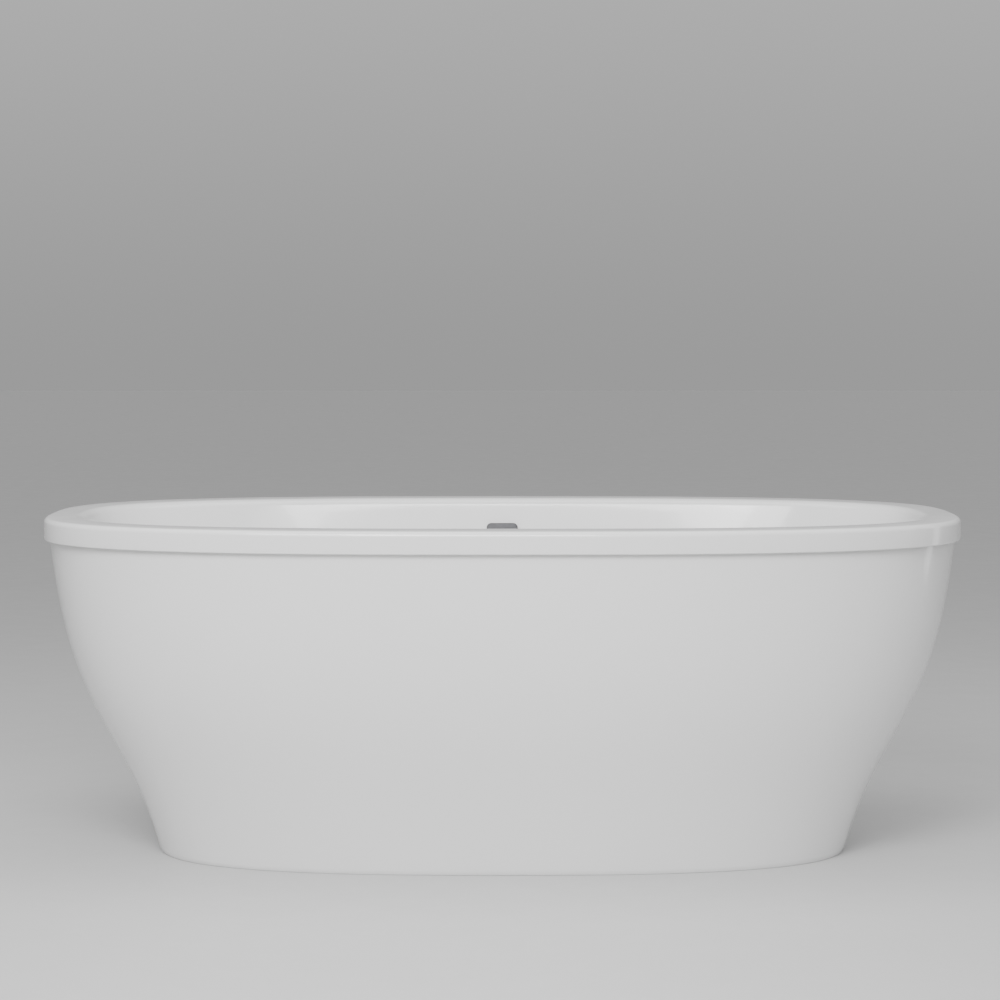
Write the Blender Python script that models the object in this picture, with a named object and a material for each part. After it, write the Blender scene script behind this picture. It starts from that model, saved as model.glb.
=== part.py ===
"""Double-ended freestanding bathtub: two bonded shells on a levelled steel frame.

Frame: metres, +X along the bath, +Y towards the overflow side, +Z up.
Origin: the centre of the footprint, on the floor.
"""
import math

import bmesh
import bpy
from mathutils import Vector

# Overall sizes and the clearance between pieces that touch
LENGTH = 1.676
WIDTH = 0.864
HEIGHT = 0.620
GAP = 0.0003

# Facets around the oval shells, around round fittings and around small rods
AROUND = 64
ROUND = 20
PIPE_ROUND = 20
ROD_ROUND = 12
SHARP_ANGLE = math.radians(32)

# Plan outline: superellipse exponents at the rim, the basin floor and the foot
RIM_EXPONENT = 2.84
FLOOR_EXPONENT = 2.40
FOOT_EXPONENT = 2.71

# Basin shell
SHELL = 0.007
BAND_HEIGHT = 0.0395
RIM_EDGE_RADIUS = 0.009
RIM_END_WIDTH = 0.054
RIM_SIDE_WIDTH = 0.063
RIM_INNER_RADIUS = 0.016
END_SLOPE = math.radians(24)
SIDE_SLOPE = math.radians(9)
FLOOR_HEIGHT = 0.168
END_FLOOR_RADIUS = 0.120
SIDE_FLOOR_RADIUS = 0.100
DISH_RADIUS = 0.072
DISH_DEPTH = 0.003
SEAT_RADIUS = 0.046
DRAIN_HOLE_RADIUS = 0.0263

# Skirt shell: run-in of the foot from the rim, wall, and the flange that is bonded under the rim
FOOT_END_INSET = 0.2025
FOOT_SIDE_INSET = 0.144
SKIRT_INSET = 0.0105
SKIRT_WALL = 0.006
SKIRT_FLANGE = 0.025
BOND_THICKNESS = 0.0035
BOND_WIDTH = 0.012
BOND_SETBACK = 0.006
# Side profile as one Bezier curve: (share of the run-in, share of the height)
SKIRT_UPPER_HANDLE = (0.165, 0.431)
SKIRT_LOWER_HANDLE = (0.671, 0.412)
SKIRT_LEVELS = 9

# Floor board and welded frame
BOARD_THICKNESS = 0.018
BOARD_MARGIN = 0.015
BOARD_HOLE_CLEARANCE = 0.008
RAIL_SIZE = 0.030
TUBE_WALL = 0.002
RAIL_FOOT_SPACING = 0.0647
RAIL_END_SETBACK = 0.020
CROSSBAR_WIDTH = 0.030
CROSSBAR_DEPTH = 0.020
CROSSBAR_END_SETBACK = 0.045
INNER_CROSSBAR_X = 0.140
INNER_CROSSBAR_OVERHANG = 0.010
BLOCK_DEPTH = 0.045
BLOCK_WIDTH = 0.040
BLOCK_HEIGHT = 0.045

# Levelling feet
STUD_RADIUS = 0.006
STUD_CLEARANCE = 0.0005
STUD_HEADROOM = 0.0187
PAD_RADIUS = 0.024
PAD_NECK_RADIUS = 0.012
PAD_THICKNESS = 0.006
PAD_HEIGHT = 0.014
PAD_SOCKET_DEPTH = 0.007
NUT_RADIUS = 0.011
NUT_HEIGHT = 0.010
FOOT_SETBACK = 0.030

# Waste: flange, gaskets, shoe and tail pipe
FLANGE_RADIUS = 0.0375
FLANGE_THICKNESS = 0.003
BARREL_RADIUS = 0.0250
BARREL_BORE = 0.0215
BARREL_LENGTH = 0.049
THROAT_RADIUS = 0.0235
THROAT_LIP = 0.0300
THROAT_DEPTH = 0.0085
WEB_DEPTH = 0.036
WEB_THICKNESS = 0.004
WEB_BORE = 0.0050
WEB_HOLE_RADIUS = 0.0055
WEB_HOLE_CIRCLE = 0.0133
WEB_HOLES = 4
SEAL_THICKNESS = 0.0015
SHOE_GASKET_THICKNESS = 0.003
GASKET_RADIUS = 0.0360
SHOE_FLANGE_RADIUS = 0.0400
SHOE_FLANGE_THICKNESS = 0.005
SHOE_RADIUS = 0.0300
BRANCH_DROP = 0.0274
SHOE_SUMP = 0.027
BRANCH_LENGTH = 0.060
TAIL_RADIUS = 0.0195
TAIL_BOTTOM = 0.006
TAIL_SOCKET_LENGTH = 0.022
OVERFLOW_PIPE_RADIUS = 0.0160
PIPE_WALL = 0.002
SOCKET_WALL = 0.0037
SOCKET_DEPTH = 0.015
NUT_WALL = 0.0042
NUT_LIP = 0.004
NUT_SLEEVE = 0.014
WASHER_HEIGHT = 0.0047

# Push-to-open plug
CAP_RADIUS = 0.0325
CAP_EDGE = 0.0016
CAP_DOME = 0.0035
BOSS_RADIUS = 0.0070
BOSS_LENGTH = 0.0070
STEM_RADIUS = 0.0020
STEM_INSERT = 0.0037
STEM_BOTTOM = 0.0320
COLLAR_RADIUS = 0.0048
COLLAR_THICKNESS = 0.0020
COLLAR_DEPTH = 0.0220
PLUG_SEAL_THICKNESS = 0.0025
SEAL_CLEARANCE = 0.0008
CARTRIDGE_RADIUS = 0.0075
CARTRIDGE_BORE = 0.0055
CARTRIDGE_TOP = 0.0100
CARTRIDGE_FLOOR = 0.0015
SPIGOT_RADIUS = 0.0046
SPIGOT_LENGTH = 0.0060
SPRING_RADIUS = 0.0038
SPRING_WIRE = 0.0007
SPRING_TURNS = 5

# Overflow, on the +Y wall
COVER_WIDTH = 0.062
COVER_HEIGHT = 0.028
COVER_DEPTH = 0.008
COVER_CORNER = 0.009
COVER_WALL = 0.0015
COVER_TOP = 0.571
COVER_SLOT_WIDTH = 0.042
COVER_EDGE = 0.001
OVERFLOW_HOLE_WIDTH = 0.046
OVERFLOW_HOLE_HEIGHT = 0.016
OVERFLOW_HOLE_CORNER = 0.006
BRACKET_WIDTH = 0.054
BRACKET_HEIGHT = 0.020
BRACKET_THICKNESS = 0.0015
BRACKET_WINDOW_WIDTH = 0.028
BRACKET_WINDOW_HEIGHT = 0.010
SCREW_SPREAD = 0.0185
SCREW_RADIUS = 0.0018
SCREW_HEAD_RADIUS = 0.0032
SCREW_HEAD_HEIGHT = 0.0020
SCREW_LENGTH = 0.0125
BODY_GASKET_THICKNESS = 0.002
BODY_FLANGE_WIDTH = 0.066
BODY_FLANGE_HEIGHT = 0.036
BODY_FLANGE_THICKNESS = 0.004
BODY_WIDTH = 0.050
BODY_CORNER = 0.007
BODY_WALL = 0.003
SOCKET_DROP = 0.030
WALL_CLEARANCE = 0.002
PIPE_BEND_RISE = 0.175
PIPE_UPPER_HANDLE = 0.120
PIPE_SWEEP = 0.182
PIPE_LOWER_HANDLE = 0.100
PIPE_BEND_STEPS = 9

# Derived sizes
HALF_LENGTH = LENGTH / 2
HALF_WIDTH = WIDTH / 2
SEAT_HEIGHT = FLOOR_HEIGHT - DISH_DEPTH
RIM_UNDERSIDE = HEIGHT - SHELL
SKIRT_TOP = RIM_UNDERSIDE - BOND_THICKNESS - 2 * GAP
SKIRT_SHOULDER = HEIGHT - BAND_HEIGHT
BOARD_TOP = FLOOR_HEIGHT - SHELL - GAP
BOARD_BOTTOM = BOARD_TOP - BOARD_THICKNESS
RAIL_TOP = BOARD_BOTTOM - GAP
RAIL_BOTTOM = RAIL_TOP - RAIL_SIZE
CROSSBAR_TOP = RAIL_BOTTOM - GAP
CROSSBAR_BOTTOM = CROSSBAR_TOP - CROSSBAR_DEPTH
STUD_TOP = BOARD_BOTTOM - STUD_HEADROOM
BRANCH_HEIGHT = RAIL_BOTTOM - BRANCH_DROP
SHOE_BOTTOM = BRANCH_HEIGHT - SHOE_SUMP
FLANGE_SEAT = SEAT_HEIGHT + SEAL_THICKNESS + 2 * GAP
SHOE_TOP = SEAT_HEIGHT - SHELL - SHOE_GASKET_THICKNESS - 2 * GAP
TAIL_SOCKET_RADIUS = TAIL_RADIUS + GAP + SOCKET_WALL
TAIL_MOUTH = SHOE_BOTTOM - TAIL_SOCKET_LENGTH
BRANCH_RADIUS = OVERFLOW_PIPE_RADIUS + GAP + SOCKET_WALL
COVER_CENTRE = COVER_TOP - COVER_HEIGHT / 2 * math.cos(SIDE_SLOPE)
BODY_FACE = SHELL + BODY_GASKET_THICKNESS + 2 * GAP
BODY_NUT_RADIUS = BRANCH_RADIUS + GAP + NUT_WALL
SOCKET_OFFSET = SHELL + WALL_CLEARANCE + BODY_NUT_RADIUS
BODY_BACK = SOCKET_OFFSET + BRANCH_RADIUS
BODY_MOUTH = -BODY_FLANGE_HEIGHT / 2 - SOCKET_DROP


def clear_scene():
    """Remove every object that is already in the scene."""
    for item in list(bpy.data.objects):
        bpy.data.objects.remove(item, do_unlink=True)


def make_material(name, color, roughness, metallic=0.0):
    """Make one Principled BSDF material."""
    material = bpy.data.materials.new(name)
    material.use_nodes = True
    shader = material.node_tree.nodes["Principled BSDF"]
    shader.inputs["Base Color"].default_value = (*color, 1.0)
    shader.inputs["Roughness"].default_value = roughness
    shader.inputs["Metallic"].default_value = metallic
    return material


def place(name, data, material, parent=None, location=(0, 0, 0), rotation=(0, 0, 0)):
    """Link one piece into the scene, under its parent and with its material."""
    piece = bpy.data.objects.new(name, data)
    bpy.context.scene.collection.objects.link(piece)
    piece.parent = parent
    piece.location = location
    piece.rotation_euler = rotation
    if material:
        data.materials.append(material)
    return piece


def make_axis(name, location, rotation=(0, 0, 0)):
    """Make the empty that carries the pieces on one axis."""
    axis = bpy.data.objects.new(name, None)
    bpy.context.scene.collection.objects.link(axis)
    axis.location = location
    axis.rotation_euler = rotation
    return axis


def finish_mesh(name, work, recalculate=True):
    """Turn a bmesh into a mesh with faces pointing out and soft shading."""
    bmesh.ops.remove_doubles(work, verts=work.verts, dist=1e-7)
    if recalculate:
        bmesh.ops.recalc_face_normals(work, faces=work.faces)
    mesh = bpy.data.meshes.new(name)
    work.to_mesh(mesh)
    work.free()
    mesh.shade_smooth()
    mesh.set_sharp_from_angle(angle=SHARP_ANGLE)
    return mesh


def loft(name, rings, closed=True, capped=False, recalculate=True):
    """Skin a list of rings; a closed loft joins the last ring to the first."""
    work = bmesh.new()
    rows = [[work.verts.new(point) for point in ring] for ring in rings]
    pairs = list(zip(rows, rows[1:]))
    if closed:
        pairs.append((rows[-1], rows[0]))
    count = len(rows[0])
    for lower, upper in pairs:
        for index in range(count):
            after = (index + 1) % count
            work.faces.new((lower[index], lower[after], upper[after], upper[index]))
    if capped:
        work.faces.new(rows[0])
        work.faces.new(rows[-1])
    return finish_mesh(name, work, recalculate)


def lathe(name, profile, segments=ROUND):
    """Turn a profile of (radius, height) about Z; points on the axis are poles."""
    work = bmesh.new()
    rows = []
    for radius, height in profile:
        if radius == 0:
            rows.append([work.verts.new((0, 0, height))])
            continue
        row = []
        for index in range(segments):
            angle = 2 * math.pi * index / segments
            row.append(work.verts.new((radius * math.cos(angle), radius * math.sin(angle), height)))
        rows.append(row)
    on_axis = len(rows[0]) == 1 and len(rows[-1]) == 1
    pairs = list(zip(rows, rows[1:]))
    if not on_axis:
        pairs.append((rows[-1], rows[0]))
    for lower, upper in pairs:
        for index in range(segments):
            after = (index + 1) % segments
            if len(lower) == 1:
                corners = (lower[0], upper[after], upper[index])
            elif len(upper) == 1:
                corners = (lower[index], lower[after], upper[0])
            else:
                corners = (lower[index], lower[after], upper[after], upper[index])
            work.faces.new(corners)
    return finish_mesh(name, work)


def rod(name, radius, bottom, top, segments=ROD_ROUND):
    """Make a plain solid cylinder along Z."""
    return lathe(name, [(0, bottom), (radius, bottom), (radius, top), (0, top)], segments)


def oval(half_length, half_width, exponent, height):
    """Ring of a superellipse, with a flat facet across each axis."""
    flat = math.cos(math.pi / AROUND) ** (2 / exponent)
    ring = []
    for index in range(AROUND):
        angle = 2 * math.pi * (index + 0.5) / AROUND
        cosine, sine = math.cos(angle), math.sin(angle)
        along = math.copysign(abs(cosine) ** (2 / exponent), cosine) / flat
        across = math.copysign(abs(sine) ** (2 / exponent), sine) / flat
        ring.append(Vector((half_length * along, half_width * across, height)))
    return ring


def rounded_rectangle(width, height, corner, depth, steps=4):
    """Ring of a rounded rectangle in the XZ plane, at the given Y."""
    ring = []
    centres = ((1, 1), (-1, 1), (-1, -1), (1, -1))
    for quarter, (side, up) in enumerate(centres):
        for step in range(steps + 1):
            angle = math.pi / 2 * (quarter + step / steps)
            x = side * (width / 2 - corner) + corner * math.cos(angle)
            z = up * (height / 2 - corner) + corner * math.sin(angle)
            ring.append(Vector((x, depth, z)))
    return ring


def rectangle(axis, centre, start, end, wide, tall):
    """Two rings of a rectangle, at the start and the end of a bar along an axis."""
    rings = []
    for distance in (start, end):
        ring = []
        for side, up in ((1, 1), (-1, 1), (-1, -1), (1, -1)):
            across = centre[0] + side * wide / 2
            height = centre[1] + up * tall / 2
            point = (distance, across, height) if axis == "X" else (across, distance, height)
            ring.append(Vector(point))
        rings.append(ring)
    return rings


def box_tube(name, axis, centre, start, end, wide, tall):
    """Make an open-ended rectangular tube along X or Y."""
    outside = rectangle(axis, centre, start, end, wide, tall)
    inside = rectangle(axis, centre, start, end, wide - 2 * TUBE_WALL, tall - 2 * TUBE_WALL)
    return loft(name, [outside[0], outside[1], inside[1], inside[0]])


def make_cutter(name, mesh, parent=None, location=(0, 0, 0), rotation=(0, 0, 0)):
    """Place a mesh that only shapes another piece."""
    cutter = place(name, mesh, None, parent, location, rotation)
    cutter.hide_render = True
    cutter.display_type = "WIRE"
    return cutter


def combine(piece, cutter, operation="DIFFERENCE"):
    """Add a Boolean modifier to a piece."""
    modifier = piece.modifiers.new(cutter.name, "BOOLEAN")
    modifier.operation = operation
    modifier.solver = "EXACT"
    modifier.object = cutter


def basin_inset(height, rim_width, slope, floor_radius):
    """Distance from the rim's outer face to the basin's inner face at one height."""
    drop = HEIGHT - height
    rise = height - FLOOR_HEIGHT
    lip_end = RIM_INNER_RADIUS * (1 - math.sin(slope))
    if drop <= lip_end:
        turn = math.acos(1 - drop / RIM_INNER_RADIUS)
        return rim_width + RIM_INNER_RADIUS * math.sin(turn)
    wall_start = rim_width + RIM_INNER_RADIUS * math.cos(slope)
    fillet_end = floor_radius * (1 - math.sin(slope))
    if rise >= fillet_end:
        return wall_start + (drop - lip_end) * math.tan(slope)
    straight = HEIGHT - FLOOR_HEIGHT - fillet_end - lip_end
    turn = math.acos(1 - max(rise, 0.0) / floor_radius)
    return wall_start + straight * math.tan(slope) + floor_radius * (math.cos(slope) - math.sin(turn))


def basin_section(height):
    """Half length, half width and exponent of the basin's inner face at one height."""
    end = basin_inset(height, RIM_END_WIDTH, END_SLOPE, END_FLOOR_RADIUS)
    side = basin_inset(height, RIM_SIDE_WIDTH, SIDE_SLOPE, SIDE_FLOOR_RADIUS)
    depth = (HEIGHT - height) / (HEIGHT - FLOOR_HEIGHT)
    exponent = RIM_EXPONENT + (FLOOR_EXPONENT - RIM_EXPONENT) * depth
    return HALF_LENGTH - end, HALF_WIDTH - side, exponent


def basin_rings():
    """Rings of the basin's visible face, from the band's lower edge to the drain hole."""
    rings = [oval(HALF_LENGTH, HALF_WIDTH, RIM_EXPONENT, HEIGHT - BAND_HEIGHT)]
    edge_steps = 2
    for step in range(edge_steps + 1):
        turn = math.pi / 2 * step / edge_steps
        inset = RIM_EDGE_RADIUS * (1 - math.cos(turn))
        height = HEIGHT - RIM_EDGE_RADIUS * (1 - math.sin(turn))
        rings.append(oval(HALF_LENGTH - inset, HALF_WIDTH - inset, RIM_EXPONENT, height))
    heights = []
    lip_steps = 3
    for step in range(lip_steps + 1):
        turn = (math.pi / 2 - SIDE_SLOPE) * step / lip_steps
        heights.append(HEIGHT - RIM_INNER_RADIUS * (1 - math.cos(turn)))
    fillet_top = FLOOR_HEIGHT + END_FLOOR_RADIUS * (1 - math.sin(SIDE_SLOPE))
    wall_steps = 3
    for step in range(1, wall_steps):
        heights.append(heights[lip_steps] + (fillet_top - heights[lip_steps]) * step / wall_steps)
    floor_steps = 5
    for step in range(floor_steps, -1, -1):
        turn = (math.pi / 2 - SIDE_SLOPE) * step / floor_steps
        heights.append(FLOOR_HEIGHT + END_FLOOR_RADIUS * (1 - math.cos(turn)))
    for height in heights:
        rings.append(oval(*basin_section(height), height))
    rings.append(oval(DISH_RADIUS, DISH_RADIUS, 2, FLOOR_HEIGHT))
    rings.append(oval(SEAT_RADIUS, SEAT_RADIUS, 2, SEAT_HEIGHT))
    rings.append(oval(DRAIN_HOLE_RADIUS, DRAIN_HOLE_RADIUS, 2, SEAT_HEIGHT))
    return rings


def build_basin(material, overflow_axis):
    """Inner shell with its rolled rim, drain hole and overflow hole."""
    mesh = loft("basin_shell", basin_rings(), closed=False, recalculate=False)
    basin = place("basin_shell", mesh, material)
    shell = basin.modifiers.new("shell", "SOLIDIFY")
    shell.thickness = SHELL
    shell.offset = -1
    shell.use_even_offset = True
    shell.use_quality_normals = True
    reach = 2 * SHELL
    outlines = []
    for depth in (-reach, reach):
        outlines.append(
            rounded_rectangle(OVERFLOW_HOLE_WIDTH, OVERFLOW_HOLE_HEIGHT, OVERFLOW_HOLE_CORNER, depth)
        )
    hole = loft("overflow_hole_cutter", outlines, closed=False, capped=True)
    combine(basin, make_cutter("overflow_hole_cutter", hole, overflow_axis))


def skirt_point(share):
    """Run-in share and height on the skirt's profile, from the foot (0) to the shoulder (1)."""
    rest = 1 - share
    lower = 3 * rest * rest * share
    upper = 3 * rest * share * share
    run_in = rest**3 + lower * SKIRT_LOWER_HANDLE[0] + upper * SKIRT_UPPER_HANDLE[0]
    height = lower * SKIRT_LOWER_HANDLE[1] + upper * SKIRT_UPPER_HANDLE[1] + share**3
    return run_in, height * SKIRT_SHOULDER


def skirt_section(share, inset):
    """Half length, half width, exponent and height of the skirt at one profile point."""
    run_in, height = skirt_point(share)
    top_length = HALF_LENGTH - SKIRT_INSET
    top_width = HALF_WIDTH - SKIRT_INSET
    half_length = top_length - (FOOT_END_INSET - SKIRT_INSET) * run_in - inset
    half_width = top_width - (FOOT_SIDE_INSET - SKIRT_INSET) * run_in - inset
    exponent = RIM_EXPONENT + (FOOT_EXPONENT - RIM_EXPONENT) * run_in
    return half_length, half_width, exponent, height


def skirt_share_at(height):
    """Profile share at which the skirt reaches a height, by bisection."""
    low, high = 0.0, 1.0
    for _ in range(40):
        middle = (low + high) / 2
        if skirt_point(middle)[1] < height:
            low = middle
        else:
            high = middle
    return (low + high) / 2


def skirt_reach(along, height):
    """Y of the skirt's inner face at a place along the bath and a height."""
    half_length, half_width, exponent, _ = skirt_section(skirt_share_at(height), SKIRT_WALL)
    return half_width * (1 - (abs(along) / half_length) ** exponent) ** (1 / exponent)


def skirt_wall_rings(inset):
    """Rings of one face of the skirt wall, from the foot to the shoulder."""
    return [oval(*skirt_section(step / SKIRT_LEVELS, inset)) for step in range(SKIRT_LEVELS + 1)]


def skirt_collar(inset, height):
    """Ring in the hidden upright collar above the shoulder."""
    outward = SKIRT_INSET + inset
    return oval(HALF_LENGTH - outward, HALF_WIDTH - outward, RIM_EXPONENT, height)


def build_skirt(material):
    """Outer shell: curved wall and the inward flange that is bonded under the rim."""
    rings = skirt_wall_rings(0.0)
    rings.append(skirt_collar(0.0, SKIRT_TOP))
    rings.append(skirt_collar(SKIRT_FLANGE, SKIRT_TOP))
    rings.append(skirt_collar(SKIRT_FLANGE, SKIRT_TOP - SKIRT_WALL))
    rings.append(skirt_collar(SKIRT_WALL, SKIRT_TOP - SKIRT_WALL))
    rings.extend(reversed(skirt_wall_rings(SKIRT_WALL)))
    place("skirt_shell", loft("skirt_shell", rings), material)


def build_rim_bond(material):
    """Adhesive bead between the skirt's flange and the underside of the rim."""
    low = SKIRT_TOP + GAP
    high = low + BOND_THICKNESS
    near = BOND_SETBACK
    far = BOND_SETBACK + BOND_WIDTH
    corners = ((near, low), (near, high), (far, high), (far, low))
    rings = [skirt_collar(inset, height) for inset, height in corners]
    place("rim_bond", loft("rim_bond", rings), material)


def board_half_sizes():
    """Half length and half width of the board under the basin floor."""
    floor_length, floor_width, _ = basin_section(FLOOR_HEIGHT)
    return floor_length - BOARD_MARGIN, floor_width - BOARD_MARGIN


def build_board(material):
    """Stiffening board under the floor, with a hole around the waste."""
    half_length, half_width = board_half_sizes()
    hole = DISH_RADIUS + BOARD_HOLE_CLEARANCE
    rings = [
        oval(half_length, half_width, FLOOR_EXPONENT, BOARD_BOTTOM),
        oval(half_length, half_width, FLOOR_EXPONENT, BOARD_TOP),
        oval(hole, hole, 2, BOARD_TOP),
        oval(hole, hole, 2, BOARD_BOTTOM),
    ]
    place("floor_board", loft("floor_board", rings), material)


def frame_layout():
    """Rail offset, rail half length and the crossbars' X places with their half spans."""
    half_length, _ = board_half_sizes()
    rail_half = half_length - RAIL_END_SETBACK
    outer_x = rail_half - CROSSBAR_END_SETBACK
    outer_half = skirt_reach(outer_x, CROSSBAR_BOTTOM) - BLOCK_DEPTH
    rail_y = outer_half - FOOT_SETBACK - RAIL_FOOT_SPACING
    inner_half = rail_y + RAIL_SIZE / 2 + INNER_CROSSBAR_OVERHANG
    bars = (
        (-outer_x, outer_half),
        (-INNER_CROSSBAR_X, inner_half),
        (INNER_CROSSBAR_X, inner_half),
        (outer_x, outer_half),
    )
    return rail_y, rail_half, bars


def foot_places(bars):
    """Feet: both ends of the outer crossbars and the middle of the inner ones."""
    places = []
    for index, (x, half) in enumerate(bars):
        if index in (0, len(bars) - 1):
            places.append((index, x, -half + FOOT_SETBACK))
            places.append((index, x, half - FOOT_SETBACK))
        else:
            places.append((index, x, 0.0))
    return places


def build_frame(material):
    """Two rails and four crossbars of square tube, drilled for the feet."""
    rail_y, rail_half, bars = frame_layout()
    rail_height = (RAIL_TOP + RAIL_BOTTOM) / 2
    for name, side in (("rail_front", -1), ("rail_back", 1)):
        centre = (side * rail_y, rail_height)
        mesh = box_tube(name, "X", centre, -rail_half, rail_half, RAIL_SIZE, RAIL_SIZE)
        place(name, mesh, material)
    bar_height = (CROSSBAR_TOP + CROSSBAR_BOTTOM) / 2
    pieces = []
    for number, (x, half) in enumerate(bars, 1):
        name = f"crossbar_{number}"
        mesh = box_tube(name, "Y", (x, bar_height), -half, half, CROSSBAR_WIDTH, CROSSBAR_DEPTH)
        pieces.append(place(name, mesh, material))
    hole_radius = STUD_RADIUS + STUD_CLEARANCE
    for number, (bar, x, y) in enumerate(foot_places(bars), 1):
        name = f"foot_hole_cutter_{number}"
        mesh = rod(name, hole_radius, CROSSBAR_BOTTOM - NUT_HEIGHT, CROSSBAR_TOP + NUT_HEIGHT)
        combine(pieces[bar], make_cutter(name, mesh, None, (x, y, 0)))


def build_blocks(material):
    """Blocks bonded to the skirt's inner face at the ends of the outer crossbars."""
    reach = BLOCK_DEPTH + 2 * SKIRT_WALL
    rings = skirt_wall_rings(SKIRT_WALL + GAP)
    rings.extend(reversed(skirt_wall_rings(-reach)))
    cutter = make_cutter("skirt_clearance_cutter", loft("skirt_clearance_cutter", rings))
    _, _, bars = frame_layout()
    number = 0
    for x, half in (bars[0], bars[-1]):
        for side in (-1, 1):
            number += 1
            name = f"skirt_block_{number}"
            near = side * (half + GAP)
            far = side * (half + BLOCK_DEPTH + reach / 2)
            middle = CROSSBAR_TOP - BLOCK_HEIGHT / 2
            rings = rectangle("Y", (x, middle), near, far, BLOCK_WIDTH, BLOCK_HEIGHT)
            block = place(name, loft(name, rings, closed=False, capped=True), material)
            combine(block, cutter)


def build_feet(steel, rubber):
    """Screw feet: pad and stud on each foot axis, with a nut under the crossbar."""
    _, _, bars = frame_layout()
    socket = STUD_RADIUS + STUD_CLEARANCE
    socket_floor = PAD_HEIGHT - PAD_SOCKET_DEPTH
    for number, (_, x, y) in enumerate(foot_places(bars), 1):
        axis = make_axis(f"foot_axis_{number}", (x, y, 0))
        name = f"foot_pad_{number}"
        profile = [
            (0, 0),
            (PAD_RADIUS, 0),
            (PAD_RADIUS, PAD_THICKNESS),
            (PAD_NECK_RADIUS, PAD_HEIGHT),
            (socket, PAD_HEIGHT),
            (socket, socket_floor),
            (0, socket_floor),
        ]
        place(name, lathe(name, profile, PIPE_ROUND), rubber, axis)
        name = f"foot_stud_{number}"
        place(name, rod(name, STUD_RADIUS, socket_floor + GAP, STUD_TOP), steel, axis)
        name = f"foot_nut_{number}"
        place(name, hex_nut(name, STUD_RADIUS + STUD_CLEARANCE, NUT_RADIUS), steel, axis)


def hex_nut(name, bore, corner_radius):
    """Six-sided nut under the crossbar, on a foot's axis."""
    top = CROSSBAR_BOTTOM - GAP
    heights = (top - NUT_HEIGHT, top)
    outside, inside = [], []
    for height in heights:
        flats, circle = [], []
        for index in range(ROD_ROUND):
            angle = 2 * math.pi * index / ROD_ROUND
            radius = corner_radius * (1 if index % 2 == 0 else math.cos(math.pi / 6))
            flats.append(Vector((radius * math.cos(angle), radius * math.sin(angle), height)))
            circle.append(Vector((bore * math.cos(angle), bore * math.sin(angle), height)))
        outside.append(flats)
        inside.append(circle)
    return loft(name, [outside[0], outside[1], inside[1], inside[0]])


def build_waste(chrome, plastic, rubber):
    """Flange, gaskets and shoe around the drain hole."""
    axis = make_axis("drain_axis", (0, 0, FLANGE_SEAT))
    web_top = -WEB_DEPTH
    web_bottom = -WEB_DEPTH - WEB_THICKNESS
    profile = [
        (BARREL_RADIUS, 0),
        (FLANGE_RADIUS, 0),
        (FLANGE_RADIUS, FLANGE_THICKNESS / 2),
        (FLANGE_RADIUS - FLANGE_THICKNESS / 2, FLANGE_THICKNESS),
        (THROAT_LIP, FLANGE_THICKNESS),
        (THROAT_RADIUS, 0),
        (BARREL_BORE, -THROAT_DEPTH),
        (BARREL_BORE, web_top),
        (WEB_BORE, web_top),
        (WEB_BORE, web_bottom),
        (BARREL_BORE, web_bottom),
        (BARREL_BORE, -BARREL_LENGTH),
        (BARREL_RADIUS, -BARREL_LENGTH),
    ]
    flange = place("drain_flange", lathe("drain_flange", profile), chrome, axis)
    for index in range(WEB_HOLES):
        angle = 2 * math.pi * (index + 0.5) / WEB_HOLES
        name = f"web_hole_cutter_{index + 1}"
        mesh = rod(name, WEB_HOLE_RADIUS, web_bottom - WEB_THICKNESS, web_top + WEB_THICKNESS)
        centre = (WEB_HOLE_CIRCLE * math.cos(angle), WEB_HOLE_CIRCLE * math.sin(angle), 0)
        combine(flange, make_cutter(name, mesh, axis, centre))

    def ring(name, inner, outer, bottom, height):
        top = bottom + height
        profile = [(inner, bottom), (outer, bottom), (outer, top), (inner, top)]
        place(name, lathe(name, profile), rubber)

    gasket_bore = BARREL_RADIUS + GAP + STUD_CLEARANCE
    ring("flange_gasket", gasket_bore, GASKET_RADIUS, SEAT_HEIGHT + GAP, SEAL_THICKNESS)
    ring("shoe_gasket", gasket_bore, GASKET_RADIUS, SHOE_TOP + GAP, SHOE_GASKET_THICKNESS)

    profile = [
        (0, SHOE_TOP),
        (SHOE_FLANGE_RADIUS, SHOE_TOP),
        (SHOE_FLANGE_RADIUS, SHOE_TOP - SHOE_FLANGE_THICKNESS),
        (SHOE_RADIUS, SHOE_TOP - SHOE_FLANGE_THICKNESS),
        (SHOE_RADIUS, SHOE_BOTTOM),
        (TAIL_SOCKET_RADIUS, SHOE_BOTTOM),
        (TAIL_SOCKET_RADIUS, TAIL_MOUTH),
        (0, TAIL_MOUTH),
    ]
    shoe = place("drain_shoe", lathe("drain_shoe", profile), plastic)
    turn = (-math.pi / 2, 0, 0)
    lift = (0, 0, BRANCH_HEIGHT)
    branch = rod("branch_outside", BRANCH_RADIUS, 0, BRANCH_LENGTH, PIPE_ROUND)
    combine(shoe, make_cutter("branch_outside", branch, None, lift, turn), "UNION")
    chamber = SHOE_BOTTOM + SOCKET_WALL
    profile = [
        (0, SHOE_TOP + SHELL),
        (BARREL_RADIUS + GAP, SHOE_TOP + SHELL),
        (BARREL_RADIUS + GAP, chamber),
        (TAIL_RADIUS + GAP, chamber),
        (TAIL_RADIUS + GAP, TAIL_MOUTH - SHELL),
        (0, TAIL_MOUTH - SHELL),
    ]
    combine(shoe, make_cutter("shoe_bore_cutter", lathe("shoe_bore_cutter", profile)))
    bore = rod("branch_bore_cutter", OVERFLOW_PIPE_RADIUS + GAP, 0, BRANCH_LENGTH + SHELL, PIPE_ROUND)
    combine(shoe, make_cutter("branch_bore_cutter", bore, None, lift, turn))


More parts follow.
